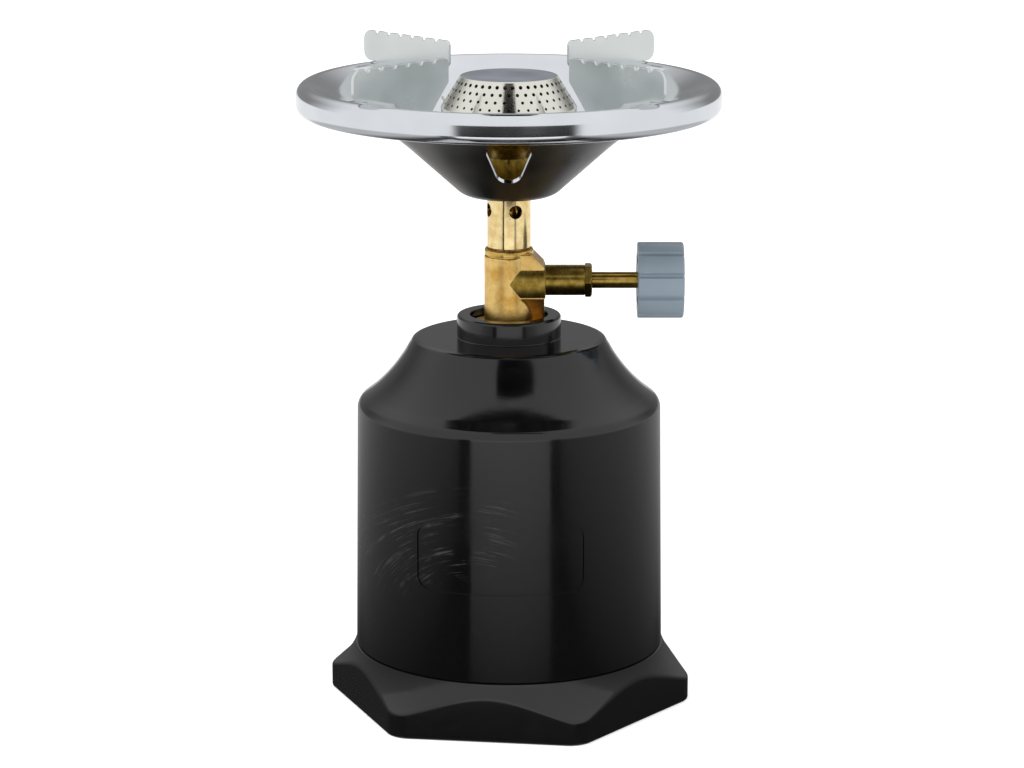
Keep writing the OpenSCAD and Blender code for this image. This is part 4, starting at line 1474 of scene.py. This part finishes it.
@dataclass
class PanSupports:
    """Four upright stamped plates with grip notches."""

    bowl: Bowl
    thickness: float = 1.1
    inner_r: float = 26.5
    outer_r: float = 66.2
    corner_r: float = 3.2
    top_z: float = 209.889
    crest_z: float = 199.589
    end_h: float = 7.4
    heel_r: float = 39.5
    tab: tuple[float, float, float] = (52.0, 60.0, 2.47)
    lift: float = 0.1
    notches: int = 6
    notch_depth: float = 1.0
    pitch: float = 5.5
    angles: dict[str, float] = field(default_factory=lambda: {
        "front_left": 225.0, "front_right": 315.0, "back_left": 135.0, "back_right": 45.0})

    def outline(self) -> Profile:
        """Draws one plate.

        Returns:
            Its points as (radius, height).
        """
        start, end, drop = self.tab
        shape: list[tuple] = [(r, self.bowl.inside_z(r) + self.lift)
                              for r in np.linspace(self.heel_r, start, 9)]
        shape += [(start, self.bowl.inside_z(start) - drop, 0.3),
                  (end, self.bowl.inside_z(end) - drop, 0.3),
                  (end, self.bowl.inside_z(end) + self.lift), (end + 0.4, self.crest_z + 0.4),
                  (self.outer_r, self.crest_z + 0.4, self.corner_r),
                  (self.outer_r, self.top_z, self.corner_r)]
        low = self.top_z - self.notch_depth
        for k in reversed(range(self.notches)):
            r = self.inner_r + self.pitch * (k + 1.15)
            shape += [(r + 1.1, self.top_z, 0.25), (r + 0.6, low, 0.3), (r - 0.6, low, 0.3),
                      (r - 1.1, self.top_z, 0.25)]
        shape += [(self.inner_r, self.top_z, 1.5), (self.inner_r, self.top_z - self.end_h, 1.0)]
        return rounded(shape, steps=5)

    def build(self) -> list[bpy.types.Object]:
        """Builds the four plates.

        Returns:
            The plates.
        """
        made = []
        outline = self.outline()
        half = self.thickness / 2
        for name, angle in self.angles.items():
            plate = prism(f"pan_plate_{name}", outline, -half, half, lambda r, z, d: (r, d, z))
            plate.data.transform(Matrix.Rotation(math.radians(angle), 4, "Z"))
            ZINC.wear(plate)
            soften(plate, 0.2, 2, 35)
            made.append(place_piece(plate, "burner", "support_steel", f"pan_support_{name}"))
        return made


@dataclass
class BurnerCap:
    """Pressed cap with rows of flame ports and a flat top."""

    top_r: float = 15.2
    base_r: float = 21.3
    low: float = 192.0
    high: float = 201.7
    sheet: float = 0.7
    skirt: float = 1.6
    ports: int = 42
    rows: int = 4
    port_r: float = 0.58
    taper: float = 0.15
    row_from: float = 1.6

    def outline(self) -> Profile:
        """Draws the cap's sheet.

        Returns:
            Its points as (radius, height).
        """
        inner_r, inner_top_r = self.base_r - self.sheet, self.top_r - self.sheet * 0.6
        hem, ceiling = self.low - self.skirt, self.high - self.sheet
        return rounded([(0, self.high), (self.top_r, self.high, 0.7), (self.base_r, self.low, 0.8),
                        (self.base_r, hem, 0.25), (inner_r, hem), (inner_r, self.low, 0.5),
                        (inner_top_r, ceiling, 0.5), (0, ceiling)], closed=False, steps=6)

    def is_top(self, face: bpy.types.MeshPolygon) -> bool:
        """Tells whether a face belongs to the flat top."""
        return face.normal.z > 0.99 and face.center.z > (self.high - 0.1) * MM

    def build(self) -> bpy.types.Object:
        """Builds the cap and punches its ports, row by row.

        Returns:
            The cap.
        """
        cap = lathe("flame_cap", self.outline(), 168, closed=False)
        NICKEL.wear(cap)
        slope = math.atan2(self.high - self.low, self.base_r - self.top_r)
        row_pitch = (self.high - self.low - 2 * self.row_from) / (self.rows - 1)
        for row in range(self.rows):
            down = self.row_from + row * row_pitch
            radius = self.port_r - self.taper * row / (self.rows - 1)
            punch = lathe(f"punch_{row}", [(0, -1.6), (radius, -1.6), (radius, 1.4), (0, 1.4)], 14,
                          closed=False)
            at = ((self.top_r + down / math.tan(slope)) * MM, 0, (self.high - down) * MM)
            punch.data.transform(Matrix.Translation(at) @ Matrix.Rotation(math.pi / 2 - slope, 4, "Y"))
            CUTS.cut(cap, punch, self.ports, 360 / self.ports * row / 2)
        soften(cap)
        # The flat top gets satin nickel whose darker blue-grey is a painted reflection of the dim back of
        # the tent.
        second_finish(cap, SATIN_TOP_PAINTED_REFLECTION, self.is_top)
        return place_piece(cap, "burner", "cap_steel", "burner_cap")


@dataclass(frozen=True)
class InnerPieces:
    """Solids whose shape is right as it is: they only get their finish."""

    finishes: tuple[tuple[str, Finish], ...] = (
        ("neck_bush", MACHINED), ("piercing_needle", STEEL), ("cartridge_seal", RUBBER),
        ("gas_filter", SINTER), ("spindle_oring", RUBBER), ("jet", MACHINED), ("bowl_nut", STEEL),
        ("burner_cup", SPUN))

    def dress(self) -> None:
        """Gives each solid its finish."""
        for node, finish in self.finishes:
            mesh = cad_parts[node].data
            mesh.materials.clear()
            mesh.materials.append(finish.material())
            LOG.info("%s: %s", node, finish.name)


# ---------------------------------------------------------------------------
# Studio
# ---------------------------------------------------------------------------


@dataclass(frozen=True)
class Card:
    """An upright card that only reflections see, between two points of the plan, in metres."""

    name: str
    start: Point
    end: Point
    foot: float
    top: float
    low: float = 0.0
    high: float = 0.0
    band: float = 0.185

    def build(self) -> None:
        """Puts the card up; its light grows from low to high over the band below its top."""
        mesh = bpy.data.meshes.new(self.name)
        mesh.from_pydata([(*self.start, self.foot), (*self.end, self.foot), (*self.end, self.top),
                          (*self.start, self.top)], [], [(0, 1, 2, 3)])
        obj = link(self.name, mesh)
        material = bpy.data.materials.new(self.name)
        material.use_nodes = True
        pattern = Pattern(material.node_tree)
        level = pattern.remap(pattern.parts()["Z"], self.top - self.band, self.top, self.low, self.high)
        glow = add(pattern.tree, "ShaderNodeEmission", {"Strength": level})
        add(pattern.tree, "ShaderNodeOutputMaterial", {"Surface": glow.outputs[0]})
        mesh.materials.append(material)
        obj.visible_camera = False
        obj.visible_shadow = False
        obj.visible_diffuse = False


CARDS = (
    Card("fill_card", (-0.15, -0.3), (0.165, -0.3), -0.38, 0.105, 0.06, 1.5),
    Card("gap_left", (-0.21, -0.3), (-0.15, -0.3), -0.38, 0.105, 0.04, 0.12),
    Card("gap_right", (0.165, -0.3), (0.22, -0.3), -0.38, 0.105, 0.04, 0.2),
    Card("curtain_left", (-0.14, -0.05), (-0.21, -0.3), -0.15, 0.088, 0.06, 0.62, 0.11),
    Card("curtain_right", (0.22, -0.3), (0.14, -0.05), -0.15, 0.088, 0.06, 0.62, 0.11),
    Card("curtain_back_left", (-0.12, 0.12), (-0.14, -0.05), -0.15, 0.088, 0.06, 0.62, 0.11),
    Card("curtain_back_right", (0.14, -0.05), (0.12, 0.12), -0.15, 0.088, 0.06, 0.62, 0.11),
    Card("curtain_back", (0.12, 0.12), (-0.12, 0.12), -0.15, 0.088, 0.06, 0.62, 0.11),
    Card("flag_under_rim", (-0.015, -0.07), (0.033, -0.07), 0.148, 0.181),
    Card("flag_over_cap", (-0.009, -0.046), (0.010, -0.046), 0.214, 0.256, 0.02, 0.02),
)


@dataclass(frozen=True)
class Studio:
    """Pale floor, a soft tent of light with a dark front, cards and curtains low round it, and the
    camera. Lengths are in metres."""

    camera_at: tuple[float, float, float] = (0.00096, -1.079, 0.3605)
    pitch: float = 13.44
    lens: float = 122.45
    film: float = 36.0
    floor_size: float = 6.0
    floor_colour: str = "#f4f4f4"
    floor_glow: float = 0.42
    diffuse_level: float = 0.95
    back_level: float = 0.27
    front_level: float = 0.03
    below_level: float = 0.6
    lamp_at: tuple[float, float, float] = (-0.35, -0.35, 1.1)
    lamp_size: Point = (0.9, 0.7)
    lamp_power: float = 5.0
    lamp_aim: tuple[float, float, float] = (0.0, 0.0, 0.1)

    def camera(self) -> None:
        """Makes the camera."""
        data = bpy.data.cameras.new("camera")
        data.lens = self.lens
        data.sensor_width = self.film
        camera = link("camera", data)
        camera.location = self.camera_at
        camera.rotation_euler = (math.radians(90 - self.pitch), 0, 0)
        bpy.context.scene.camera = camera

    def floor(self) -> None:
        """Makes the pale floor, which keeps the stove's soft shadow."""
        mesh = bpy.data.meshes.new("floor")
        size = self.floor_size
        mesh.from_pydata([(-size, -size, 0), (size, -size, 0), (size, size, 0), (-size, size, 0)], [],
                         [(0, 1, 2, 3)])
        floor = link("floor", mesh)
        material = bpy.data.materials.new("pale_floor")
        material.use_nodes = True
        pattern = Pattern(material.node_tree)
        paint = add(pattern.tree, "ShaderNodeBsdfDiffuse", {"Color": linear(self.floor_colour)})
        seen = add(pattern.tree, "ShaderNodeLightPath").outputs["Is Camera Ray"]
        glow = add(pattern.tree, "ShaderNodeEmission", {
            "Color": (1, 1, 1, 1), "Strength": pattern.math("MULTIPLY", seen, self.floor_glow)})
        both = add(pattern.tree, "ShaderNodeAddShader", {0: paint.outputs[0], 1: glow.outputs[0]})
        add(pattern.tree, "ShaderNodeOutputMaterial", {"Surface": both.outputs[0]})
        mesh.materials.append(material)
        floor.visible_glossy = False

    def world(self) -> None:
        """Paints the tent: light all round, dimmer low behind, dark low in front and underneath."""
        world = bpy.data.worlds.new("tent")
        bpy.context.scene.world = world
        world.use_nodes = True
        pattern = Pattern(world.node_tree, "Generated")
        part = pattern.parts()
        height = part["Z"]
        forward = pattern.math("MULTIPLY", part["Y"], -1.0)
        right = pattern.math("ARCTAN2", part["X"], forward)
        turn = pattern.math("ARCTAN2", pattern.math("ABSOLUTE", part["X"]), forward)

        def fade(value: Socket, start: float, end: float, low: float = 0.0, high: float = 1.0) -> Socket:
            """Eases from one level to another over a range of values."""
            return pattern.remap(value, start, end, low, high, smooth=True)

        rad = math.radians
        back = pattern.math("MULTIPLY", fade(turn, rad(95), rad(140)), fade(height, 0.75, 0.25))
        front = pattern.math("MULTIPLY", fade(right, rad(-32), rad(-26)), fade(right, rad(40), rad(34)))
        low_front = pattern.math("MULTIPLY", front, fade(height, -0.04, -0.1))
        upper = pattern.between(back, 1.0, self.back_level)
        lower = pattern.between(low_front, fade(height, -0.6, -0.3, 0.75, 1.0), self.front_level)
        down = pattern.between(fade(height, -0.33, -0.44), lower, self.below_level)
        level = pattern.between(fade(height, -0.1, -0.02), down, upper)
        path = add(pattern.tree, "ShaderNodeLightPath").outputs
        soft = pattern.between(path["Is Diffuse Ray"], level, self.diffuse_level)
        seen = pattern.between(path["Is Camera Ray"], soft, 1.0)
        light = add(pattern.tree, "ShaderNodeBackground", {"Color": (1, 1, 1, 1), "Strength": seen})
        add(pattern.tree, "ShaderNodeOutputWorld", {"Surface": light.outputs[0]})

    def lamps(self) -> None:
        """Adds the cards and one soft lamp."""
        for card in CARDS:
            card.build()
        data = bpy.data.lights.new("soft_top", "AREA")
        data.shape = "RECTANGLE"
        data.size, data.size_y = self.lamp_size
        data.energy = self.lamp_power
        lamp = link("soft_top", data)
        lamp.location = self.lamp_at
        aim = Vector(self.lamp_aim) - Vector(self.lamp_at)
        lamp.rotation_euler = aim.to_track_quat("-Z", "Y").to_euler()
        lamp.visible_glossy = False

    def build(self) -> None:
        """Sets up the whole studio."""
        bpy.context.scene.view_settings.view_transform = "Standard"
        self.camera()
        self.floor()
        self.world()
        self.lamps()


def main() -> None:
    """Builds the stove's looks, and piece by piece."""
    logging.basicConfig(level=logging.INFO, format="%(name)s: %(message)s")
    Foot().build()
    Housing().build()
    valve = Valve()
    valve.forging()
    valve.turned_parts()
    valve.gland_nut()
    valve.rod()
    valve.knob_piece()
    BurnerTube().build()
    bowl = Bowl()
    bowl.build()
    PanSupports(bowl).build()
    BurnerCap().build()
    InnerPieces().dress()
    Studio().build()


if __name__ == "__main__":
    main()
